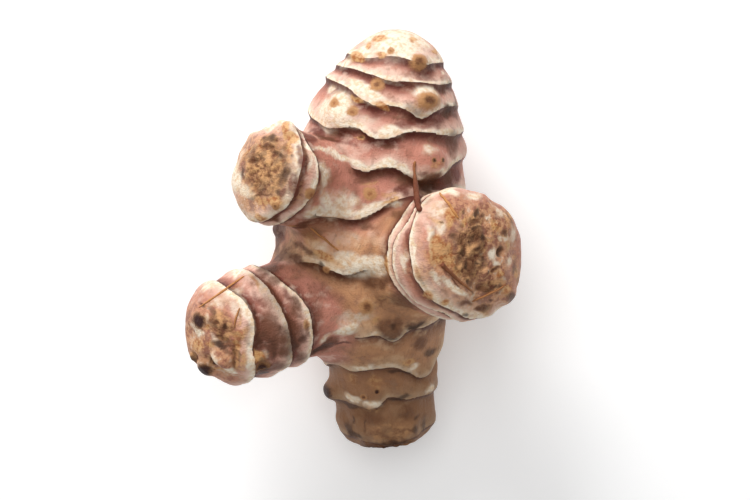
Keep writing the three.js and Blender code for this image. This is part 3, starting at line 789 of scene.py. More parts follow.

# %% Stains with painted light and shade: x, y, half length, half width, turn and strength of each
drift = 0.28  # how far the spots' outlines wander, as a share of each noise's size
drifted = skin_points + sum(
    size * drift * np.stack([ripple(skin_points, size, shift) for shift in (3.1, 5.7, 8.3)], 1)
    for size in (3.2, 1.3))
stains = {
    "cream": [
        # rubbed cream skin, with painted highlights on the head's dome and on the left knob
        # head
        (5, 49, 5, 3, 30, 0.8), (11.5, 48, 10, 6.2), (16.5, 47.5, 3.5, 3, -35, 0.8),
        (3.5, 45.5, 3, 3, 0, 0.8), (19.6, 45.2, 2, 2, 0, 0.5), (1.5, 44.5, 2.5, 2, 0, 0.7),
        (-0.6, 42.6, 2.4, 2.4, 0, 0.7), (20.6, 40.5, 1), (9.6, 38.2, 3.6, 1, -14, 0.5),
        (-4.6, 37, 2, 2, 30, 0.7), (3.5, 36.6, 8, 1.6, -33), (16.6, 35.9, 4.6, 2.6),
        (4.6, 33.6, 3.4, 1.2, -20, 0.6), (-1.8, 32.5, 4.6, 6.2), (-5.2, 31, 3.4, 6, 0, 0.9),
        (4, 29.8, 5, 1.6, 0, 0.4), (1, 28.7, 4, 1.3, 0, 0.8), (-4.9, 27.9, 3, 1.6, -10, 0.8),
        (9, 27.2, 4.4, 1.6), (21.5, 27, 3.6, 1.1, 0, 0.8), (-9.5, 24, 3, 0.6, -32),
        (-6.5, 23.2, 4, 0.8, -18, 0.9), (17.4, 23, 3.4, 1.6, 0, 0.6),
        (-3, 21.2, 5, 1.1, -22, 0.9), (8, 19.8, 4, 1.5, 6), (1.5, 19.4, 3.8, 1.6, -15),
        (-6.8, 19, 1.8, 3, 0, 0.8), (12.3, 18.3, 2.6, 1.3, -45), (19.5, 17.7, 2.4, 1.1, 20),
        (-6.2, 16.6, 2, 3.6, 2, 0.9), (-9, 15.3, 1, 2.4, 0, 0.8),
        # middle
        (-6, 12, 2.6, 5, 15, 0.6), (-3.5, 11.5, 6, 4, 5, 0.5), (-2, 10.8, 6, 2.4, 4, 0.8),
        (-5.6, 10, 2.4, 5, 12), (5.5, 9.8, 4.6, 1.8, 8, 0.9), (9, 9.8, 5, 0.9, 12, 0.8),
        (-8.4, 8.8, 3.6, 1.6, 10, 0.9), (-3.4, 8.8, 5.4, 2.8, 8, 0.9), (-2, 8.6, 5, 1.8),
        (3, 8.2, 4, 1.7, 8), (-1, 2, 7, 3, 0, 0.3), (-7.6, 0.8, 4.6, 2, -25, 0.6),
        (-1, -1.8, 5, 2, -8, 0.6), (-7, -2, 4, 1, -25, 0.5), (6.2, -2.7, 3.6, 2, -5, 0.9),
        (-2, -3.3, 3.6, 1.4, -25, 0.9), (3.4, -3.4, 5.4, 2), (3.5, -4.8, 7.5, 3.4, 0, 0.85),
        (-5.6, -5, 0.6), (-13, -10.5, 0.8, 4, 38, 0.5), (3.5, -13.5, 2.9, 2.9, 0, 0.55),
        (1, -16, 7, 2.4, 10, 0.5),
        # foot end
        (-1.2, -18.6, 4.4, 1.9, 14), (-1.5, -19.2, 5.2, 2, 14), (-6.4, -21.4, 3, 1.3, 36, 0.7),
        (2.5, -28.7, 4, 0.9, 0, 0.8), (14.6, -29.3, 2, 1, 0, 0.8), (18, -35.3, 1.7, 1.3, 30),
        (0.2, -37.5, 3.2, 1.5, -25), (0.4, -37.6, 2.8, 1.2, -25), (4.8, -38.8, 3.6, 1.8, 8),
        # shoulder knob
        (-18.5, 28.3, 3, 1.1, 12, 0.8), (-25.5, 22, 1.2, 2.6, -30, 0.6),
        (-9.6, 20.5, 0.8, 3.6, 0, 0.7), (-27, 17.5, 1.5, 4), (-24.8, 17.4, 0.5),
        (-26.6, 15.5, 1.8, 4.5, -10, 0.9), (-18.6, 14.9, 1.2, 0.5, -20, 0.5),
        (-24.2, 13.6, 3.2, 1.9, -10), (-23.4, 12.9, 3, 1.6, -10, 0.9),
        (-9.6, 10.5, 1.6, 2.5, 0, 0.35), (-16, 10, 2.2, 1.1, 10, 0.6),
        (-16.5, 9.8, 2.2, 1.2, 0, 0.4),
        # right knob
        (26, 13.8, 6, 1.4, -4, 0.5), (24, 13.5, 4, 1.4, 0, 0.9), (22.6, 12.9, 4, 1.4, -8),
        (28, 12.6, 3.6, 1.2, -8, 0.7), (19.5, 9.5, 3.6, 4, -20, 0.6),
        (33.8, 8.4, 2, 1.2, -45, 0.5), (34.5, 8, 2.6, 1.4, -50, 0.6),
        (31.6, 7.7, 1.2, 0.8, 0, 0.8), (20.2, 5.6, 2.2, 3.4, -12, 0.65),
        (37.2, 3.4, 1, 3, 8, 0.5), (35.6, 3, 1, 1.6, 0, 0.6), (36.8, 3, 1, 2, 10, 0.5),
        (18.2, 2.5, 0.9, 5.5, 3), (33.9, 2.4, 1.5, 0.8, -35), (14.8, 0.5, 0.7, 5, 6),
        (30, -0.8, 0.7, 0.5, 0, 0.8), (32.3, -0.9, 1.3, 2.6), (12.6, -2, 1.3, 3.5, 5, 0.7),
        (33.1, -2.8, 1.6, 0.9), (36.6, -2.8, 1.4, 1.5, 0, 0.7), (21, -5.4, 2.2, 0.9, -45, 0.7),
        (19.5, -5.5, 0.9, 4.5, 25, 0.7), (34.7, -6.9, 1.4, 0.8, 0, 0.7),
        (22.9, -7.6, 5, 1.2, -42), (24.3, -8.3, 4.6, 1.2, -42), (27.5, -8.6, 0.8, 0.7, 0, 0.6),
        # left knob
        (-26.6, -6.2, 2.6, 1.5, 15), (-33, -9.3, 3, 1.3, 35, 0.8), (-20.8, -9.5, 0.9, 4, 38, 0.5),
        (-27, -10, 3, 2.4, 0, 0.5), (-28, -10.5, 3, 2, 0, 0.35), (-30, -12, 3, 2, 20, 0.5),
        (-25, -13, 1.4, 3.8, 28), (-26.6, -14, 1.6, 3.4, 30, 0.5), (-24.5, -15, 1, 2.4, 20, 0.7),
        (-33.3, -15.2, 0.6, 1.2, 0, 0.6), (-22.8, -17.4, 0.9, 3.4, 5, 0.7),
        (-36.4, -18.4, 1.4, 3, 0, 0.7), (-35.2, -19.5, 2.2, 1.3),
        (-31.6, -20.6, 1.2, 2.6, 25, 0.6), (-20, -23.3, 1.5, 1.5, 0, 0.6),
        (-31.5, -23.5, 2.4, 0.8, -35, 0.4), (-31, -25, 2.6, 0.9, -38, 0.7),
        (-23.6, -25, 1, 2.2, 0, 0.9), (-27.7, -27.6, 1.4, 1.1, -40),
        (-28.6, -27.9, 1.9, 1.3, -25), (-27.6, -28.4, 1.2, 1, -40),
    ],
    "tan": [
        # head
        (6.6, 48.6, 3.2, 1.8), (14.4, 48.4, 1.2, 1.4), (4.5, 46.8, 1.2, 2), (19, 45.7, 1, 1.6),
        (7.2, 44.6, 2.4, 1.2), (1.6, 43.8, 2.4), (1.8, 34.7, 3.4, 1.2, -25, 0.8),
        (19, 34, 2, 2.8, 0, 0.5), (-3, 33.4, 1.6, 2.2, 0, 0.6), (6.8, 32.8, 3.2, 1.1, -20),
        (1.2, 32, 1.5, 1.6, 0, 0.7), (1.8, 25.9, 2.2, 0.9, 0, 0.8),
        (18.4, 19.3, 2.6, 1.6, 0, 0.6),
        # middle
        (4.5, 15, 4, 1.2, 0, 0.5), (8.5, 12.6, 4, 1.6, 0, 0.5), (9, 10.6, 4, 0.9, 12),
        (-14, 5.6, 2.4, 1, 10), (-9.5, 2, 5, 4, -20, 0.5), (-2.4, 1.6, 2.4, 1.2, -40, 0.5),
        (-6.5, -1.6, 4.4, 1.7, -25), (-9, -3, 5, 3, -30, 0.4), (8.3, -4, 1.4, 4.6, 4),
        (3.5, -13.5, 3.4, 3.4, 0, 0.6),
        # foot end
        (5.5, -17, 2.5, 1.8, 0, 0.6), (-11, -17.5, 1.6, 2, 0, 0.8), (13, -28, 3, 1.2, -15, 0.6),
        (0, -33, 2.5, 3, 0, 0.4), (5.5, -33, 3, 3, 0, 0.5),
        # shoulder knob
        (-14.8, 27.4, 1.8, 3.2), (-13.4, 25.6, 2.2, 1), (-13.4, 25.2, 2.4, 1.2, 20),
        (-20.5, 24, 3, 0.8), (-14, 23.5, 1.4, 3, 0, 0.8), (-23.6, 22.6, 2.4, 0.8, 38),
        (-18.4, 20.2, 2.6, 1.2, -10, 0.9), (-17, 20, 3.4, 2.2, 10), (-22.5, 18.6, 2.6, 1.4),
        (-20, 17.5, 3.6, 1.6, 10), (-21.5, 15.6, 2, 2.6), (-9.9, 13.4, 1.6, 2),
        (-17.2, 12, 3.6, 1.4, 10), (-20, 11.2, 5, 1.6, -6, 0.7), (-17.5, 11.2, 4, 1.4),
        (-20.5, 8.3, 2, 1.4),
        # right knob
        (22.4, 8, 2.2, 3.6, 0, 0.8), (19.6, 7, 2.4, 1.4, 0, 0.6), (25.8, 7, 1, 2.4, -30, 0.8),
        (35.4, 6.4, 0.5, 3, 20, 0.7), (32.5, 6, 0.5, 3.4, -12, 0.8), (33.2, 6, 1.2, 3.4, 10, 0.7),
        (27.6, 3.9, 1.4, 0.9, 0, 0.8), (31.3, 2.6, 1.6, 0.8, -20), (19.4, 1.6, 2.8, 4, -5),
        (36.3, 1, 1.2, 2.4, 0, 0.6), (20.5, 0.3, 5, 4.4), (20, 0, 4.2, 4.4),
        (22.4, -1.6, 2, 2.4, 0, 0.8), (15.4, -4, 0.9, 3, 20, 0.7), (24, -4, 2.2, 3.2, 30, 0.8),
        (28.5, -4.6, 1, 2, 10, 0.7), (34.2, -5.7, 2, 1.3), (17.5, -9, 1.8, 2.4),
        (35.4, -9, 2.4, 2, 0, 0.6), (21.5, -10.7, 2, 1.2), (31, -14, 2, 1, 0, 0.6),
        # left knob
        (-22.6, -8.2, 0.7, 3.6, 45, 0.7), (-26.3, -8.5, 1.8, 1.4, 0, 0.4),
        (-32.8, -17.5, 1, 1.6, 0, 0.8), (-27.6, -17.5, 1.4, 2.6, 0, 0.6),
        (-25.4, -19, 3, 2.2, 0, 0.8), (-33, -21.5, 2.4, 1.2, 0, 0.7),
        (-26, -21.5, 1.4, 3, 0, 0.9), (-36, -22.4, 2.8, 2.4), (-22, -23.6, 1.4, 1.8),
        (-21.6, -24, 2.4, 1.8), (-25, -25.5, 1.7, 4.2, 0, 0.6), (-30.8, -28, 3, 0.8, -12, 0.7),
    ],
    "maroon": [
        # dark red-brown skin, and painted shade in hollows and under the mound by the waist root
        # head
        (16.5, 40.8, 4.5, 1.1, -6, 0.7), (17.6, 39.4, 4, 1.1, -4, 0.6),
        (19, 29.8, 5, 1.4, -4, 0.7), (12.8, 28.6, 5.4, 1.8, -3, 0.85), (17, 28.2, 7, 1.3, 0, 0.7),
        (-7.6, 26.8, 4.5, 2.4, -30), (-9.4, 26, 2.8, 2.2, -35, 0.9), (-3, 25.5, 4, 0.9, -10, 0.6),
        (-2, 24.4, 7, 1.2, -8, 0.7), (9.5, 24.4, 4.5, 0.9, 0, 0.6),
        (15.5, 17.6, 2.2, 1.3, 0, 0.8), (24.5, 17, 3, 3), (-6.9, 15.2, 1.2, 4, 4, 0.3),
        # middle
        (11.5, 13.6, 3.5, 1.8, -10, 0.9), (12.6, 12.6, 2, 2, 0, 0.8),
        (-7.6, 12.4, 1.2, 3.4, -14, 0.4), (14.6, 12.2, 4, 2.4, -10, 0.6),
        (-4, -11.5, 5, 2.4, 0, 0.3),
        # shoulder knob
        (-11.9, 23, 1.2, 2.8, -12, 0.8), (-11.7, 20.6, 1.1, 3.8, -4),
        (-13.5, 15.3, 1.1, 3.4, -10, 0.8), (-12.7, 14.4, 1.2, 3.4, -14),
        (-15.1, 13.4, 1, 3, -16, 0.8), (-16, 8.8, 3.2, 1.1, 38, 0.9), (-13, 8.2, 2, 1, 40, 0.6),
        # right knob
        (21.5, 14.8, 6.5, 3.4, -8), (18, 12.3, 2, 1.6, 0, 0.5), (16.2, 11.6, 3.4, 2.4, 25, 0.9),
        (13.2, 3.5, 0.7, 5, -10, 0.6), (14.6, -6, 0.8, 5, 20, 0.6),
        # left knob
        (-21, -7.4, 4, 2, 20, 0.6), (-21.4, -11.5, 1.3, 4, 38, 0.7),
        (-14.6, -11.5, 1.4, 4.5, 34, 0.8), (-25.4, -19.8, 2, 2.4, 0, 0.4),
    ],
    "brown": [
        # brown earth, and painted shade on the sides turned from the lamp
        # head
        (2, 41.6, 2.4, 1.2, -20, 0.2), (21, 36.8, 2.6, 2.4, 0, 0.8), (24.2, 33, 1.2, 5, 6, 0.8),
        (13.5, 32, 3.5, 1.4, -25, 0.7), (22.4, 31.5, 3.4, 2.2), (8, 30.6, 5, 1.2, -6, 0.5),
        (-3.5, 26.3, 4, 1.8, 0, 0.4), (-6, 25.4, 5, 1.3, -14, 0.9), (23.5, 24, 3, 5, 0, 0.8),
        (9, 23.8, 5, 1.1, 0, 0.7), (7, 17, 7, 2, 0, 0.5), (22.5, 16.5, 2.6, 4, 0, 0.9),
        (3, 16, 5, 1.6, 0, 0.6), (13, 15.4, 4, 3, -20, 0.7), (18, 15.4, 4.6, 3.4),
        # middle
        (13, 8.6, 4, 1.6, 20, 0.5), (11, 8.3, 4, 1.2, 20, 0.8), (-12, 5.3, 5, 1.5, 12),
        (3.5, 5.3, 3.2, 1.8, 0, 0.8), (-10, 3.6, 6, 1.8, 4, 0.5), (-16, 3.5, 4, 2.4, 0, 0.4),
        (-18, 0, 1.5, 4, 0, 0.8), (-11, -0.6, 6, 1.2, -24, 0.9), (-15, -1.4, 5, 3.4, -15, 0.6),
        (-14, -2.5, 6, 1, -34, 0.8), (-12.6, -2.6, 6, 1.3, -32, 0.9), (-17.5, -3, 4, 2, -15, 0.7),
        (-7, -5, 3, 2.2, -30, 0.5), (-12.5, -8, 3, 3.4, 30, 0.3), (5.5, -8, 6, 2.6, 0, 0.9),
        (-8, -10.5, 5, 4, 30, 0.6), (12, -12.5, 6, 5, 0, 0.9), (-13.5, -13, 1.8, 7, 30, 0.5),
        (-12.7, -13, 1.5, 3.2, 25), (-13.5, -14, 3, 8, 20, 0.5), (-8, -14, 3, 7, 12, 0.5),
        (-13, -14.5, 1.2, 4, 35, 0.8), (-13.6, -14.6, 1.2, 3, 30, 0.7),
        # foot end
        (-8.5, -18, 2.4, 4, 10, 0.5), (-14, -18.5, 1.8, 6.5, 8), (-10.8, -18.5, 1.2, 3, 10, 0.8),
        (15, -18.5, 5, 1.6, 8, 0.9), (-12.6, -19.5, 1.8, 5, 6, 0.8), (9, -19.5, 5.5, 4.4),
        (-13.4, -21.5, 1.7, 4.4, 10, 0.9), (-5, -22.6, 4.4, 1.6, 25), (16, -23.5, 3.6, 3, 0, 0.9),
        (-7.2, -24.8, 4, 1.8, 38), (0, -24.8, 4, 1.4, 5, 0.3), (-12, -25.5, 2, 3, 0, 0.9),
        (13, -41, 3, 4, 20, 0.6), (5, -43, 6, 2, -10, 0.6), (0, -48, 3, 3, 0, 0.8),
        (8, -50, 9, 1.8, 0, 0.9),
        # shoulder knob
        (-19.5, 24.2, 3.4, 1, 5), (-14.8, 23.8, 0.9, 2.6, 8, 0.6), (-22.8, 20.8, 2.6, 0.9),
        (-18.9, 17.4, 2.2, 0.8), (-12.4, 16, 1, 5, -10, 0.5), (-20.5, 12.8, 3.4, 0.7, 5),
        (-17.5, 7.2, 3, 0.9),
        # right knob
        (17.5, 10.6, 2, 3, -30, 0.4), (17.9, 7.3, 0.6, 0.4), (20.2, 6.9, 1, 0.4),
        (28.4, 6.9, 2.6, 1.3, 8), (18.6, 4.6, 1, 4, -5, 0.5), (34.9, 4.2, 1.2, 0.7),
        (24, 3.2, 1.6, 3, 0, 0.6), (28.6, 3, 2.4, 4, 10, 0.7), (25, 1.5, 1.4, 3, 0, 0.7),
        (28.3, 0.8, 1.8, 1), (18.4, -1, 1.2, 11, 0, 0.35), (27.4, -3.5, 2.6, 3.4, 0, 0.7),
        (33, -4, 1.4, 0.5, 25), (16.5, -6, 0.8, 5, 28, 0.5), (23.9, -6.7, 4, 0.4, -42),
        (27.4, -7.4, 1.6, 2, 0, 0.8), (21, -8.5, 3.5, 1, -42, 0.5), (31, -8.6, 4, 1, 15),
        (26, -11.7, 2.8, 1.2), (29.7, -13.4, 2.4, 0.8),
        # left knob
        (-19.6, -5.2, 4.6, 2.8, 16), (-20.5, -6.5, 4, 2.2, 25, 0.8), (-23, -7.6, 5, 4, 0, 0.45),
        (-18.4, -7.8, 3, 2.2, 20), (-18.5, -12, 4, 10, 25, 0.65), (-34, -13.2, 1.4, 0.8),
        (-22.6, -13.2, 1.4, 2.4, 20, 0.5), (-31.2, -16.6, 1.4, 1.3), (-19, -17, 3.4, 6, 10),
        (-29, -17.4, 1, 1.4), (-23.8, -18.8, 1.8, 3, 0, 0.5), (-18.8, -19, 3.4, 6, 4),
        (-20.8, -19.5, 2.6, 6.5, 8, 0.8), (-18.2, -20, 3, 7, 4), (-25.4, -20.4, 1.2, 2.8, 5, 0.6),
        (-23.6, -20.4, 1.3, 3, 5, 0.6), (-18.3, -20.5, 3.8, 8.4, 4, 0.9),
        (-15.5, -21, 3, 7, 6, 0.9), (-30.5, -21.4, 3.4, 1.1, -18),
        (-27.5, -22.4, 3.4, 0.8, -35, 0.8), (-27, -25.4, 0.8, 3.6, 0, 0.9),
        (-32.3, -26, 1.2, 0.8), (-18.5, -27, 5, 3, 0, 0.9), (-20.5, -29, 3, 1.4),
    ],
    "soot": [
        # nearly black marks, and painted shadow in the deepest grooves and corners
        # head
        (22.5, 38, 0.9, 2, 0, 0.6), (22.5, 32, 1.8, 1, 0, 0.7), (1.8, 26.1, 1.3, 0.5),
        # middle
        (18, 14.2, 4, 2.8, 0, 0.8), (-7, -3.9, 1.2, 0.9),
        # foot end
        (6, -17.3, 1, 0.8, 0, 0.5), (9.5, -18.4, 1.5, 1.1, 0, 0.8), (15, -18.6, 4, 0.6, 8),
        (-11.8, -20, 1.4, 3.2, 0, 0.7), (-13.6, -21.5, 1.3, 4.6, 8, 0.6),
        (8.8, -21.8, 3.6, 0.8, 0, 0.7), (-2.4, -22.9, 3.4, 0.8, 10, 0.9),
        (-5.5, -23.4, 3.6, 1, 25, 0.8), (-7.4, -25.2, 3.6, 1, 38, 0.9),
        (18.4, -26, 2.2, 1.8, 0, 0.9), (11, -30.6, 4.4, 1, 0, 0.9), (11.5, -37.2, 4.6, 0.9, 5),
        (-0.5, -39.8, 4, 0.9, -8, 0.8), (15.5, -42.5, 1.6, 1, 0, 0.7),
        (0, -43.5, 0.6, 2.4, 0, 0.9), (3, -44.5, 0.5, 2.6, 0, 0.7), (17.6, -45, 1.4, 4, 0, 0.7),
        (-0.5, -46, 1.6, 4, 15, 0.8), (15, -46, 2, 2.4, 0, 0.8), (1, -47, 4, 1.3, -25, 0.8),
        (10.5, -49.2, 8, 1.2, 0, 0.9), (8, -51, 10, 1.4, 0, 0.9),
        # shoulder knob
        (-18.8, 25.8, 2.8, 1.1, 10, 0.8), (-16.6, 22.5, 3.4, 0.9, -14, 0.8),
        (-13.6, 21.6, 0.7, 0.7, 0, 0.7), (-22, 21.3, 1.6, 0.5, 0, 0.7),
        (-19, 18, 1.4, 0.6, 10, 0.6), (-25.5, 17.8, 0.7, 2.8), (-14.7, 17.3, 1.3, 2.2),
        (-24.9, 16.6, 0.9, 1, 0, 0.8), (-16, 13.8, 1.2, 1.9, 0, 0.9),
        (-23.2, 12, 1.6, 0.6, 10, 0.6),
        # right knob
        (17.5, 12.8, 4.2, 3.4, -30, 0.55), (25.6, 9.2, 0.7, 1.1), (29, 8.9, 1, 1.3),
        (30.4, 8.2, 0.9, 0.9, 0, 0.8), (25, 6.2, 1, 1, 0, 0.6), (27.9, 5.2, 1),
        (28.6, 5.2, 0.9, 0.6, 0, 0.8), (23.2, 4.2, 1.6, 1.6, 0, 0.7), (27, 3.4, 2, 0.8, 20, 0.6),
        (29.8, 3.3, 1.4, 1), (26.6, 2, 0.7, 1.2, 0, 0.7), (28.2, 0.9, 1.2, 0.7, 0, 0.7),
        (25.2, -0.2, 1.4, 1.5, 0, 0.8), (34.4, -0.5, 1.4, 1.6), (24.6, -1.5, 0.8, 2, 10, 0.7),
        (30.4, -1.7, 0.7), (29, -2.6, 0.7, 1, 0, 0.7), (26.2, -3.2, 0.6, 1.6),
        (23.9, -3.6, 0.8, 1, 0, 0.7), (31.2, -4.9, 0.9), (26.6, -6.6, 0.7, 1.8, 0, 0.9),
        (32.8, -8, 1.4, 0.5, 20, 0.7), (27.8, -9.4, 1.2, 0.5, -30, 0.7),
        (33.6, -9.6, 1.6, 0.5, 35, 0.7), (35.8, -10.6, 1.4, 2.6, 40), (31.4, -11.3, 0.9, 0.8),
        (26, -14.4, 1, 0.6),
        # left knob
        (-19, -5.5, 3.6, 1.6, 18, 0.45), (-36.2, -11.3, 0.5), (-36.2, -11.3, 0.7, 0.6, 0, 0.8),
        (-31.8, -13.8, 1.8, 1, -10, 0.7), (-22.3, -14.6, 0.7, 1.4, 0, 0.8), (-35.2, -16.4, 2),
        (-29, -17.2, 0.9, 1.4, 0, 0.7), (-16.8, -18.6, 1.4, 1.8, 0, 0.5),
        (-20, -21.5, 2.4, 5, 6, 0.5), (-30.2, -21.6, 3.6, 1, -18),
        (-18.8, -22.5, 2.8, 4.6, 4, 0.6), (-28.2, -23.2, 3, 0.7, -38, 0.8), (-36.6, -26, 1.8),
        (-32.3, -26, 0.8, 0.6, 0, 0.8), (-21.2, -26.3, 1.9, 1.4), (-20.2, -27.5, 2.2, 1.4),
        (-19.5, -27.5, 1.4, 1, 0, 0.7), (-20.5, -29.5, 3, 1.4, 20, 0.9),
    ],
    "russet": [
        # middle
        (18, 15, 5, 4, 0, 0.5), (8.6, -12, 6, 3, 0, 0.5),
        # foot end
        (4, -40, 5, 2, 0, 0.5), (10, -46, 9, 4, 0, 0.4),
        # shoulder knob
        (-19, 25.2, 4, 2), (-24, 20, 2, 5, 0, 0.6), (-20, 18.6, 7.4, 7), (-19.6, 18.6, 9, 9),
        (-22, 12.3, 3.6, 1.2, -8, 0.6),
        # right knob
        (24.4, 8.6, 1.2, 3, -35, 0.6), (28.6, 7, 3.4, 2.4), (36.2, 7, 0.6, 3, 25),
        (35, 4, 1.8, 1.2), (20.5, 0.5, 3, 3, 0, 0.5), (27.2, -0.5, 5.4, 10), (27.2, -0.8, 5, 9.4),
        (33, -4.2, 2, 0.8, 20), (38, -5, 1.5, 6, 0, 0.6), (32.4, -7.8, 4.6, 2.2, 15, 0.9),
        (30, -13.2, 3.2, 1.3, 5),
        # left knob
        (-31, -15.6, 3), (-25.6, -15.6, 0.5, 2.4, -12, 0.6), (-29.5, -17.5, 5, 5, 0, 0.7),
        (-29.4, -19.4, 3, 1.8), (-26.5, -24.6, 1.3, 4.4), (-36.5, -25.5, 2, 2.4),
        (-32, -26, 1.6, 1), (-20.6, -26, 2.6, 2.6, 0, 0.8),
    ],
}
masks = {name: strongest([top(*spot) for spot in spots], drifted)
         for name, spots in stains.items()}
# the foot end gets cork and brown, which is earth and painted shade together
foot_stain_reach = 14
for name, strength in (("russet", 0.6), ("brown", 0.65)):
    foot_stain = Spot(foot_end, foot_stain_reach, strength=strength)
    masks[name] = np.maximum(masks[name], foot_stain.cover(drifted))
print("spots of each tint:", {name: len(spots) for name, spots in stains.items()})


# %% Make the tuber's mesh
def make_piece(name, points_mm, faces, flat_faces=0):
    """A smooth-shaded mesh object in metres; its last few faces may stay flat."""
    mesh = bpy.data.meshes.new(name)
    mesh.from_pydata((np.asarray(points_mm) * MM).tolist(), [], [list(face) for face in faces])
    smooth = np.arange(len(mesh.polygons)) < len(mesh.polygons) - flat_faces
    mesh.polygons.foreach_set("use_smooth", smooth)
    piece = bpy.data.objects.new(name, mesh)
    scene.collection.objects.link(piece)
    return piece


def cut_along_ridges(quads, heights):
    """Two triangles per quad, cut along whichever diagonal is more level."""
    a, b, c, d = quads.T
    level = np.abs(heights[a] - heights[c]) <= np.abs(heights[b] - heights[d])
    first = np.where(level, (a, b, c), (a, b, d)).T
    second = np.where(level, (a, c, d), (b, c, d)).T
    return np.concatenate([first, second])


softening_rounds, softening, cork_keeps = 2, 0.45, 0.8
tuber_points = skin_points + skin_normals * height[:, None]
for _ in range(softening_rounds):
    softer = neighbour_mean(tuber_points, skin_edges) - tuber_points
    tuber_points += softer * (softening * (1 - cork_keeps * cork))[:, None]
tuber_points[:, 2] = np.maximum(tuber_points[:, 2], 0.0)
tuber_faces = cut_along_ridges(skin_quads, steps_height)
tuber = make_piece("tuber_skin", tuber_points, tuber_faces)
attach(tuber, "root")
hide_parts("tuber")
print("tuber:", len(tuber.data.polygons), "triangles,",
      [round(d / MM, 1) for d in tuber.dimensions])


# %% Write the masks on the mesh
def write_mask(piece, name, values):
    values = np.asarray(values, np.float32)
    kind = "FLOAT" if values.ndim == 1 else "FLOAT_VECTOR"
    mask = piece.data.attributes.new(name, kind, "POINT")
    mask.data.foreach_set("value" if values.ndim == 1 else "vector", values.ravel())


def rising(limb, start, width):
    """0 up to start mm from a limb's tip, 1 from width mm further on, and only on that limb."""
    s = limb.locate(skin_points)[0]
    return np.clip((s - start) / width, 0, 1) * shares[limbs.index(limb)]


# darker towards the foot: brown earth and painted shade together
masks["earth"] = rising(trunk, 60, 34)
masks["warm"] = rising(trunk, 36, 18) + rising(right, 13, 8)
masks.update(lip=lip_place, calm=calm, nook=nook, worn=tipward, bud_reach=bud_reach,
             bud_dark=bud_dark, bud_wide=bud_wide, cork=cork, flakes=flakes)
run = (skin_points * lengthwise).sum(1)[:, None] * lengthwise
streak_stretch = 0.8  # noise on these points comes out as streaks along the limbs
masks["fibre"] = skin_points - streak_stretch * run
for name, values in masks.items():
    write_mask(tuber, name, values)
print("masks:", sorted(masks))

# %% [markdown]
# ## Root threads
# Seven fine dried roots still cling to the tuber. Each runs about where its plain solid does, but
# it is lowered onto the finished skin, wanders a little, and thins out as a real root does. A
# mesh tube was chosen over a bevelled curve, so that its girth can change all along it.

# %% Where a root runs
tuber_surface = BVHTree.FromPolygons(tuber_points.tolist(), tuber_faces.tolist())


down, steepest = Vector((0, 0, -1)), 0.4


def along_skin(points, lift, loose):
    """Lowers a path onto the finished skin; its loose parts may hang above it."""
    resting = []
    for (x, y, z), gap, may_hang in zip(points, lift, loose):
        below, normal, _, _ = tuber_surface.ray_cast(Vector((x, y, above_all)), down)
        rest = below.z + gap / max(normal.z, steepest)
        resting.append((x, y, max(z, rest) if may_hang else rest))
    return np.array(resting)


wander, lumpy, seated, smoothing_rounds = 0.22, 0.25, 0.6, 3


def root_path(stops, girths, hanging, seed, count=64):
    """The path and half thicknesses of a root through stops in plan."""
    corners = np.array([on_top(*stop) for stop in stops])
    knots = np.arange(len(corners))
    at = np.linspace(0, len(corners) - 1, count)
    path = smooth_through(knots, corners, at)
    path = path + wander * np.stack([ripple(path, 2.4, seed + k) for k in range(3)], 1)
    half = np.interp(at, knots, girths) / 2 * (1 + lumpy * ripple(path, 1.1, seed))
    lift = seated * half
    loose = np.array([any(a <= place <= b for a, b in hanging) for place in at])
    path = along_skin(path, lift, np.zeros(count, bool))
    for a, b in hanging:
        span = np.flatnonzero((at >= a) & (at <= b))
        ends = path[span[[0, -1]]]
        path[span] = smooth_through([0, 1], ends, np.linspace(0, 1, len(span)))
    path = along_skin(path, lift, loose)
    for _ in range(smoothing_rounds):
        path[1:-1] = (path[:-2] + 2 * path[1:-1] + path[2:]) / 4
    return path, half


print("the skin carries", len(tuber_faces), "triangles for the roots to rest on")


# %% A tube along a path
def tube(path, half, sides=10, rounded=3, blunt=0.1):
    """A closed tube whose ends are rounded over a few rings."""
    run = np.gradient(path, axis=0)
    run /= np.linalg.norm(run, axis=1)[:, None]
    across = np.cross(run[0], (0, 0, 1.0))
    turns = np.arange(sides) * 2 * math.pi / sides
    points, faces = [], []
    from_end = np.minimum(np.arange(len(path)), np.arange(len(path))[::-1])
    half = half * np.minimum(1, np.sqrt(from_end / rounded + blunt))
    for here, direction, girth in zip(path, run, half):
        across = across - across @ direction * direction
        across /= np.linalg.norm(across)
        other = np.cross(direction, across)
        points += [here + girth * (math.cos(t) * across + math.sin(t) * other) for t in turns]
    for ring in range(len(path) - 1):
        for k in range(sides):
            a, b = ring * sides + k, ring * sides + (k + 1) % sides
            faces.append((a, b, b + sides, a + sides))
    last = (len(path) - 1) * sides
    faces.append(tuple(range(sides))[::-1])
    faces.append(tuple(range(last, last + sides)))
    return points, faces


furrow_stretch = 0.15


def make_root(name, stops, girths, tones, hanging=(), seed=0.0):
    path, half = root_path(stops, girths, hanging, seed)
    points, faces = tube(path, half)
    piece = make_piece(name.replace("root_thread", "dried_root"), points, faces, flat_faces=2)
    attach(piece, "root")
    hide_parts(name)
    sides = len(points) // len(path)
    gone = np.concatenate([[0], np.cumsum(np.linalg.norm(np.diff(path, axis=0), axis=1))])
    tone = np.interp(np.linspace(0, 1, len(path)), np.linspace(0, 1, len(tones)), tones)
    write_mask(piece, "tone", np.repeat(tone, sides))
    stretched = np.array(points) - np.repeat(path, sides, axis=0)
    stretched[:, 2] += np.repeat(gone, sides) * furrow_stretch
    write_mask(piece, "fibre", stretched)
    print(piece.name, round(gone[-1], 1), "mm long")
    return piece


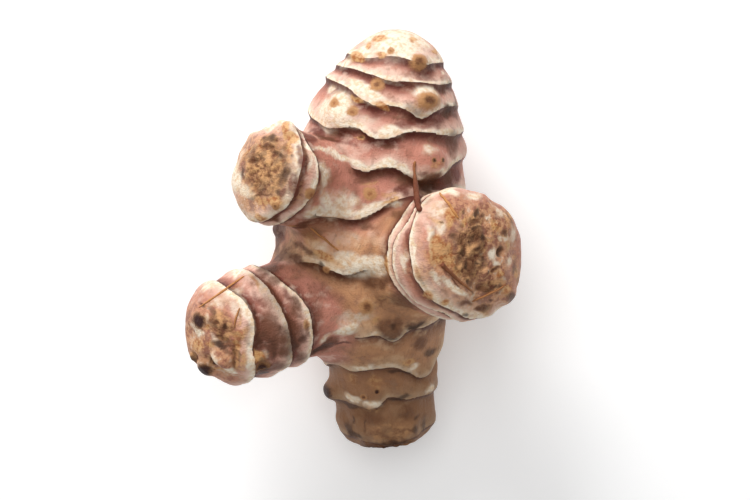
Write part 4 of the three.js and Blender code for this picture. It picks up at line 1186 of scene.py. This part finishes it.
# %% The seven roots
roots = [
    make_root("root_thread_waist", [(14.6, 20.4), (14.4, 16.5), (14.8, 12.4), (15.6, 9.2)],
              (0.6, 0.8, 1.5, 1.3), (0.5, 0.9, 1.0), hanging=[(0.4, 2.6)], seed=1.0),
    make_root("root_thread_shoulder", [(-9.6, 4.8), (-6.4, 2.1), (-3, -0.4)],
              (0.3, 0.5, 0.35), (0.3, 0.35, 0.25), seed=2.0),
    make_root("root_thread_right_ring", [(20.2, 13.3), (22.3, 10.8), (24.4, 7.6)],
              (0.4, 0.7, 0.5), (0.2, 0.15, 0.2), seed=3.0),
    make_root("root_thread_right_face", [(20.4, -2.4), (23.6, -5.6), (27.6, -9)],
              (1.0, 0.8, 0.4), (0.8, 0.7, 0.6), seed=4.0),
    make_root("root_thread_right_edge", [(27.5, -11.4), (31.6, -9.8), (35.8, -8)],
              (0.35, 0.6, 0.4), (0.5, 0.45, 0.6), seed=5.0),
    make_root("root_thread_left_side", [(-35.4, -13.4), (-30.1, -9.8), (-25, -6.4)],
              (0.3, 0.5, 0.4), (0.1, 0.15, 0.1), hanging=[(0.2, 1.9)], seed=6.0),
    make_root("root_thread_left_ring", [(-25.6, -13), (-26.4, -15.2), (-26.8, -17.6)],
              (0.3, 0.5, 0.3), (0.4, 0.5, 0.5), seed=7.0),
]

# %% [markdown]
# ## Shared shader parts
# Skin and roots are both plant fibre with soil and age on it, so they share their effects as node
# groups: `mottle` gives noise at three sizes, `fibres` gives streaks along the growth with a
# height for bumps, and `stain` lays a tint over a colour where a mask is strong, with an edge
# that a noise breaks up. A group is built once, and each material gives it its own values.


# %% A small kit for shader trees
class Tree:
    """Adds nodes to a tree and joins them, so that a shader reads as a list of steps."""

    def __init__(self, tree):
        self.tree = tree

    def add(self, kind, settings=None, **inputs):
        node = self.tree.nodes.new(kind)
        for key, value in (settings or {}).items():
            setattr(node, key, value)
        for key, value in inputs.items():
            self.feed(node.inputs[key.replace("_", " ")], value)
        return node

    def feed(self, socket, value):
        if isinstance(value, bpy.types.NodeSocket):
            self.tree.links.new(value, socket)
        else:
            socket.default_value = value

    def use(self, group, output=None, **inputs):
        """Places a node group, and gives one of its outputs, or all of them by name."""
        outputs = self.add("ShaderNodeGroup", {"node_tree": group}, **inputs).outputs
        return outputs[output] if output else outputs

    def mask(self, name, output="Fac"):
        return self.add("ShaderNodeAttribute", {"attribute_name": name}).outputs[output]

    def maths(self, operation, a, b=0.0, c=0.0):
        node = self.add("ShaderNodeMath", {"operation": operation})
        for socket, value in zip(node.inputs, (a, b, c)):
            self.feed(socket, value)
        return node.outputs[0]

    def shaken(self, value, noise, amount):
        """A value moved up and down by a noise around 0.5."""
        return self.maths("ADD", value, self.maths("MULTIPLY_ADD", noise, amount, -amount / 2))

    def between(self, value, low, high, to_low=0.0, to_high=1.0):
        """A smooth step of value from low to high."""
        node = self.add("ShaderNodeMapRange", {"interpolation_type": "SMOOTHSTEP"})
        for key, given in zip(("Value", "From Min", "From Max", "To Min", "To Max"),
                              (value, low, high, to_low, to_high)):
            self.feed(node.inputs[key], given)
        return node.outputs["Result"]

    def mix(self, a, b, share):
        node = self.add("ShaderNodeMix", {"data_type": "RGBA"})
        self.feed(node.inputs["Factor"], share)
        self.feed(node.inputs[6], a)
        self.feed(node.inputs[7], b)
        return node.outputs[2]

    def noise(self, vector, scale, detail=3.0, roughness=0.55):
        node = self.add("ShaderNodeTexNoise", Vector=vector, Scale=scale, Detail=detail,
                        Roughness=roughness)
        return node.outputs["Fac"]


def rgb(red, green, blue):
    """A colour as seen on screen, 0 to 255, in the linear values that shaders use."""
    def linear(value):
        value /= 255
        return value / 12.92 if value <= 0.04045 else ((value + 0.055) / 1.055) ** 2.4
    return linear(red), linear(green), linear(blue), 1.0


print("mid grey in linear light:", round(rgb(128, 128, 128)[0], 3))


# %% A new group or material
def new_group(name, inputs, outputs):
    """An empty node group: its tree, its inputs by name, and the node that takes its outputs."""
    group = bpy.data.node_groups.new(name, "ShaderNodeTree")
    for key, (kind, default) in inputs.items():
        socket = group.interface.new_socket(name=key, in_out="INPUT",
                                            socket_type="NodeSocket" + kind)
        if default is not None:
            socket.default_value = default
    for key, kind in outputs.items():
        group.interface.new_socket(name=key, in_out="OUTPUT", socket_type="NodeSocket" + kind)
    t = Tree(group)
    return group, t, t.add("NodeGroupInput").outputs, t.add("NodeGroupOutput").inputs


def new_material(name):
    material = bpy.data.materials.new(name)
    material.use_nodes = True
    return material, Tree(material.node_tree), material.node_tree.nodes["Principled BSDF"]


# %% Mottle
mottle, t, given, result = new_group(
    "mottle", {"Vector": ("Vector", None), "Scale": ("Float", 1.0)},
    {"Broad": "Float", "Medium": "Float", "Small": "Float", "Fine": "Float"})
scaled = t.add("ShaderNodeVectorMath", {"operation": "SCALE"}, Vector=given["Vector"],
               Scale=given["Scale"]).outputs[0]
for key, density in (("Broad", 0.1), ("Medium", 0.35), ("Small", 0.9), ("Fine", 2.6)):
    t.feed(result[key], t.noise(scaled, density))
print("mottle puts out", [socket.name for socket in result if socket.name])

# %% Fibres
fibres, t, given, result = new_group(
    "fibres", {"Vector": ("Vector", None), "Density": ("Float", 1.1), "Fine": ("Float", 0.5)},
    {"Streak": "Float", "Height": "Float"})
streak = t.noise(given["Vector"], given["Density"])
t.feed(result["Streak"], streak)
t.feed(result["Height"], t.maths("MULTIPLY_ADD", streak, 0.5,
                                 t.maths("MULTIPLY", given["Fine"], 0.6)))
print("fibres puts out", [socket.name for socket in result if socket.name])

# %% Stain
stain, t, given, result = new_group(
    "stain",
    {"Under": ("Color", (1, 1, 1, 1)), "Tint": ("Color", (0, 0, 0, 1)), "Mask": ("Float", 0.0),
     "Noise": ("Float", 0.5), "Ragged": ("Float", 0.5), "Start": ("Float", 0.1),
     "Full": ("Float", 1.0), "Strength": ("Float", 0.9)},
    {"Color": "Color"})
shake = t.maths("MULTIPLY", t.maths("SUBTRACT", given["Noise"], 0.5), given["Ragged"])
edge = t.between(t.maths("ADD", given["Mask"], shake), given["Start"], given["Full"])
t.feed(result["Color"], t.mix(given["Under"], given["Tint"],
                              t.maths("MULTIPLY", edge, given["Strength"])))
print("stain puts out", [socket.name for socket in result if socket.name])

# %% [markdown]
# ## Skin
# The skin's colour follows its relief. It is partly its own colour and partly painted shade:
# dark mauve in the hollow under each lip, dull pink on the way down, light pink before the next
# lip, and cream on the lip itself. It turns tan over the waist and darker brown towards the foot,
# where brown earth and painted shade go together. The rest is laid over it much as it came to the
# real skin: earth, rubbed cream with painted highlights, tan scrapes, cork, dark stains that also
# paint shade, and last the buds, which stay clean.

# %% Skin: places
skin, t, shader = new_material("tuber_skin")


def laid(under, tint, mask_name, noise, **shape):
    """A tint laid over a colour where the mesh's mask of that name is strong."""
    return t.use(stain, "Color", Under=under, Tint=tint, Mask=t.mask(mask_name), Noise=noise,
                 **shape)


place = t.add("ShaderNodeTexCoord").outputs["Object"]
mm = t.add("ShaderNodeVectorMath", {"operation": "SCALE"}, Scale=1000.0, Vector=place).outputs[0]
spots = t.use(mottle, Vector=mm)
broad, medium, small, fine = (spots[key] for key in ("Broad", "Medium", "Small", "Fine"))
grain = t.use(fibres, Vector=t.mask("fibre", "Vector"), Fine=fine)
lip_xyz = t.add("ShaderNodeSeparateXYZ", Vector=t.mask("lip", "Vector")).outputs
turn = t.maths("DIVIDE", t.maths("ARCTAN2", lip_xyz["Y"], lip_xyz["X"]), 2 * math.pi)
gap = lip_xyz["Z"]
past = t.maths("MULTIPLY", t.maths("FRACT", turn), gap)
before = t.maths("SUBTRACT", gap, past)
print("the skin knows how far each place is from its two lips")

# %% Skin: relief colours, with painted shade in the hollows
warm = t.between(t.shaken(t.mask("warm"), broad, 1.6), 0.1, 0.9)
# the hollow colour is partly painted shade under each lip
hollow = t.mix(rgb(106, 50, 40), rgb(108, 66, 44), warm)
middle = t.mix(rgb(204, 136, 116), rgb(206, 150, 108), warm)
crest = t.mix(rgb(240, 202, 182), rgb(232, 192, 150), warm)
band = t.maths("MINIMUM", gap, 6.5)
below = t.shaken(t.shaken(past, medium, 2.0), grain["Streak"], 1.4)
above = t.shaken(t.shaken(before, medium, 2.6), small, 0.8)
colour = t.mix(hollow, middle, t.between(below, t.maths("MULTIPLY", band, 0.08),
                                         t.maths("MULTIPLY", band, 0.66)))
colour = t.mix(crest, colour, t.between(above, 0.6, t.maths("MULTIPLY", band, 0.75)))
quiet = t.between(t.mask("calm"), 0.3, 0.75)
colour = t.mix(colour, t.mix(middle, crest, t.between(broad, 0.35, 0.65, 0.0, 0.6)), quiet)
blotch = t.maths("MULTIPLY_ADD", broad, 0.5, t.maths("MULTIPLY", medium, 0.5))
colour = t.mix(colour, rgb(150, 96, 76), t.between(blotch, 0.5, 0.66, 0.0, 0.55))
colour = t.mix(colour, crest, t.between(blotch, 0.48, 0.36, 0.0, 0.5))
colour = t.mix(colour, rgb(126, 76, 54), t.between(grain["Streak"], 0.52, 0.74, 0.0, 0.4))
speck = t.between(t.noise(mm, 1.5, 2), 0.62, 0.7, 0.0, 0.55)
colour = t.mix(colour, rgb(134, 86, 56), t.maths("MULTIPLY", speck, t.between(medium, 0.4, 0.6)))
print("relief colours follow the lips")

# %% Skin: earth with painted shade towards the foot, painted shade in nooks, worn ends
# brown earth, and painted shade that darkens the trunk towards the foot
colour = laid(colour, rgb(136, 96, 66), "earth", medium, Start=0.05, Full=1.0, Strength=0.85)
# painted shade: the nooks where two limbs meet are darkened
colour = laid(colour, rgb(118, 76, 54), "nook", medium, Ragged=0.9, Start=0.35, Full=1.1,
              Strength=0.32)
patchy = t.maths("MULTIPLY_ADD", medium, 0.55, t.maths("MULTIPLY", small, 0.45))
aged = t.mix(rgb(138, 88, 60), rgb(208, 158, 114), t.between(patchy, 0.42, 0.52))
aged = t.mix(aged, rgb(240, 216, 188), t.between(patchy, 0.54, 0.64))
colour = laid(colour, aged, "worn", broad, Ragged=1.4, Start=0.15, Full=0.9, Strength=0.72)
print("the skin has", len(skin.node_tree.nodes), "nodes so far")

# %% Skin: cream lips and their shadow
pale = t.mix(rgb(232, 202, 166), rgb(251, 238, 216), t.between(small, 0.35, 0.6))
lip = t.between(above, t.maths("MULTIPLY", band, 0.1), t.maths("MULTIPLY", band, 0.3),
                0.95, 0.0)
for share in (t.between(medium, 0.32, 0.54, 0.3, 1.0),
              t.between(t.mask("earth"), 0.0, 0.9, 1.0, 0.15),
              t.between(t.mask("nook"), 0.15, 0.6, 1.0, 0.0),
              t.between(quiet, 0.0, 1.0, 1.0, 0.1)):
    lip = t.maths("MULTIPLY", lip, share)
colour = t.mix(colour, pale, lip)
# rubbed cream, and painted highlights
colour = laid(colour, pale, "cream", medium, Ragged=0.7, Start=0.0, Full=0.95, Strength=0.92)
# painted shadow: darkest right under each lip
under = t.shaken(past, small, 0.8)
colour = t.mix(rgb(72, 36, 28), colour,
               t.maths("MAXIMUM", t.between(under, 0.0, 1.5, 0.35, 1.0), quiet))
print("the lips are cream, and dark beneath")

# %% Skin: scrapes, cork and stains
scrape = t.mix(rgb(176, 106, 52), rgb(220, 170, 112), t.between(small, 0.36, 0.6))
colour = laid(colour, scrape, "tan", patchy, Ragged=1.0, Start=0.15, Full=0.85, Strength=0.85)
flake = t.shaken(t.shaken(t.mask("flakes"), small, 0.8), fine, 0.4)
bark = t.mix(rgb(94, 50, 34), rgb(214, 162, 112), t.between(flake, -0.15, 0.55))
bark = t.mix(bark, rgb(116, 94, 74), t.between(t.noise(mm, 0.3, 4), 0.52, 0.66, 0.0, 0.6))
colour = laid(colour, bark, "russet", patchy, Ragged=1.1, Start=0.05, Full=0.7, Strength=0.88)
# dark tints that are partly stains and partly painted shade
for name, tint, deep in (("maroon", rgb(104, 44, 34), 0.85), ("brown", rgb(98, 58, 36), 0.85),
                         ("soot", rgb(58, 36, 26), 0.78)):
    colour = laid(colour, tint, name, patchy, Ragged=1.0, Start=0.05, Full=1.05, Strength=deep)
print("the skin has", len(skin.node_tree.nodes), "nodes so far")

# %% Skin: buds
reach = t.shaken(t.shaken(t.mask("bud_reach"), small, 0.6), fine, 0.4)
core = t.between(t.maths("DIVIDE", reach, t.mask("bud_wide")), 0.5, 1.9)
core_colour = t.mix(rgb(170, 112, 70), rgb(58, 28, 22), t.mask("bud_dark"))
bud_colour = t.mix(core_colour, rgb(190, 138, 92), core)
colour = t.mix(bud_colour, colour, t.between(reach, 0.7, 1.25))
t.feed(shader.inputs["Base Color"], colour)
print("the skin has", len(skin.node_tree.nodes), "nodes")

# %% Skin: gloss and fine relief
corky = t.between(t.mask("cork"), 0.2, 0.8)
rough = t.maths("ADD", t.between(corky, 0, 1, 0.5, 0.85), t.between(fine, 0.3, 0.7, -0.06, 0.08))
t.feed(shader.inputs["Roughness"], rough)
shader.inputs["Specular IOR Level"].default_value = 0.22
relief = t.maths("MULTIPLY_ADD", t.maths("MULTIPLY", corky, flake), 1.1, grain["Height"])
relief = t.maths("MULTIPLY_ADD", t.between(before, 0.0, 0.9, 1.0, 0.0), 0.5, relief)
bump = t.add("ShaderNodeBump", Strength=0.7, Distance=0.0006, Height=relief)
t.feed(shader.inputs["Normal"], bump.outputs["Normal"])
tuber.data.materials.append(skin)
print("skin is on", tuber.name)

# %% [markdown]
# ## Dried roots
# A dried root is a shrunken brown thread with furrows along it. Young ones are tan, old ones dark
# red-brown, so a mask along each root mixes the two, and the shared fibres give the furrows.

# %% Root material
dried_root, t, shader = new_material("dried_root")
place = t.add("ShaderNodeTexCoord").outputs["Object"]
mm = t.add("ShaderNodeVectorMath", {"operation": "SCALE"}, Scale=1000.0, Vector=place).outputs[0]
spots = t.use(mottle, Vector=mm, Scale=1.6)
grain = t.use(fibres, Vector=t.mask("fibre", "Vector"), Density=3.0, Fine=spots["Fine"])
tone = t.between(t.shaken(t.mask("tone"), spots["Medium"], 0.4), 0.0, 1.0)
colour = t.mix(rgb(206, 142, 80), rgb(112, 52, 26), tone)
colour = t.use(stain, "Color", Under=colour, Tint=rgb(70, 40, 26), Mask=grain["Streak"],
               Noise=spots["Fine"], Ragged=0.4, Start=0.5, Full=0.8, Strength=0.7)
t.feed(shader.inputs["Base Color"], colour)
t.feed(shader.inputs["Roughness"], t.between(grain["Streak"], 0.3, 0.7, 0.55, 0.8))
bump = t.add("ShaderNodeBump", Strength=0.8, Distance=0.0004, Height=grain["Height"])
t.feed(shader.inputs["Normal"], bump.outputs["Normal"])
for root in roots:
    root.data.materials.append(dried_root)
print("dried_root is on", len(roots), "roots")

# %% [markdown]
# ## Floor
# The tuber lies on pale matt paper, which shows the shape of its shadow. The shared mottle makes
# the paper a touch lighter and darker from place to place, as real paper is. It also glows a
# little, which keeps it near white and lights the tuber's underside as a bright table would.

# %% Floor material
paper, t, shader = new_material("pale_floor")
spots = t.use(mottle, Vector=t.add("ShaderNodeTexCoord").outputs["Object"], Scale=400.0)
t.feed(shader.inputs["Base Color"], t.mix((0.92, 0.92, 0.92, 1), (0.94, 0.94, 0.94, 1),
                                          spots["Medium"]))
t.feed(shader.inputs["Roughness"], t.between(spots["Fine"], 0.3, 0.7, 0.75, 0.85))
shader.inputs["Emission Color"].default_value = (1, 1, 1, 1)
shader.inputs["Emission Strength"].default_value = 0.26
floor.data.materials.append(paper)
print("floor is pale")
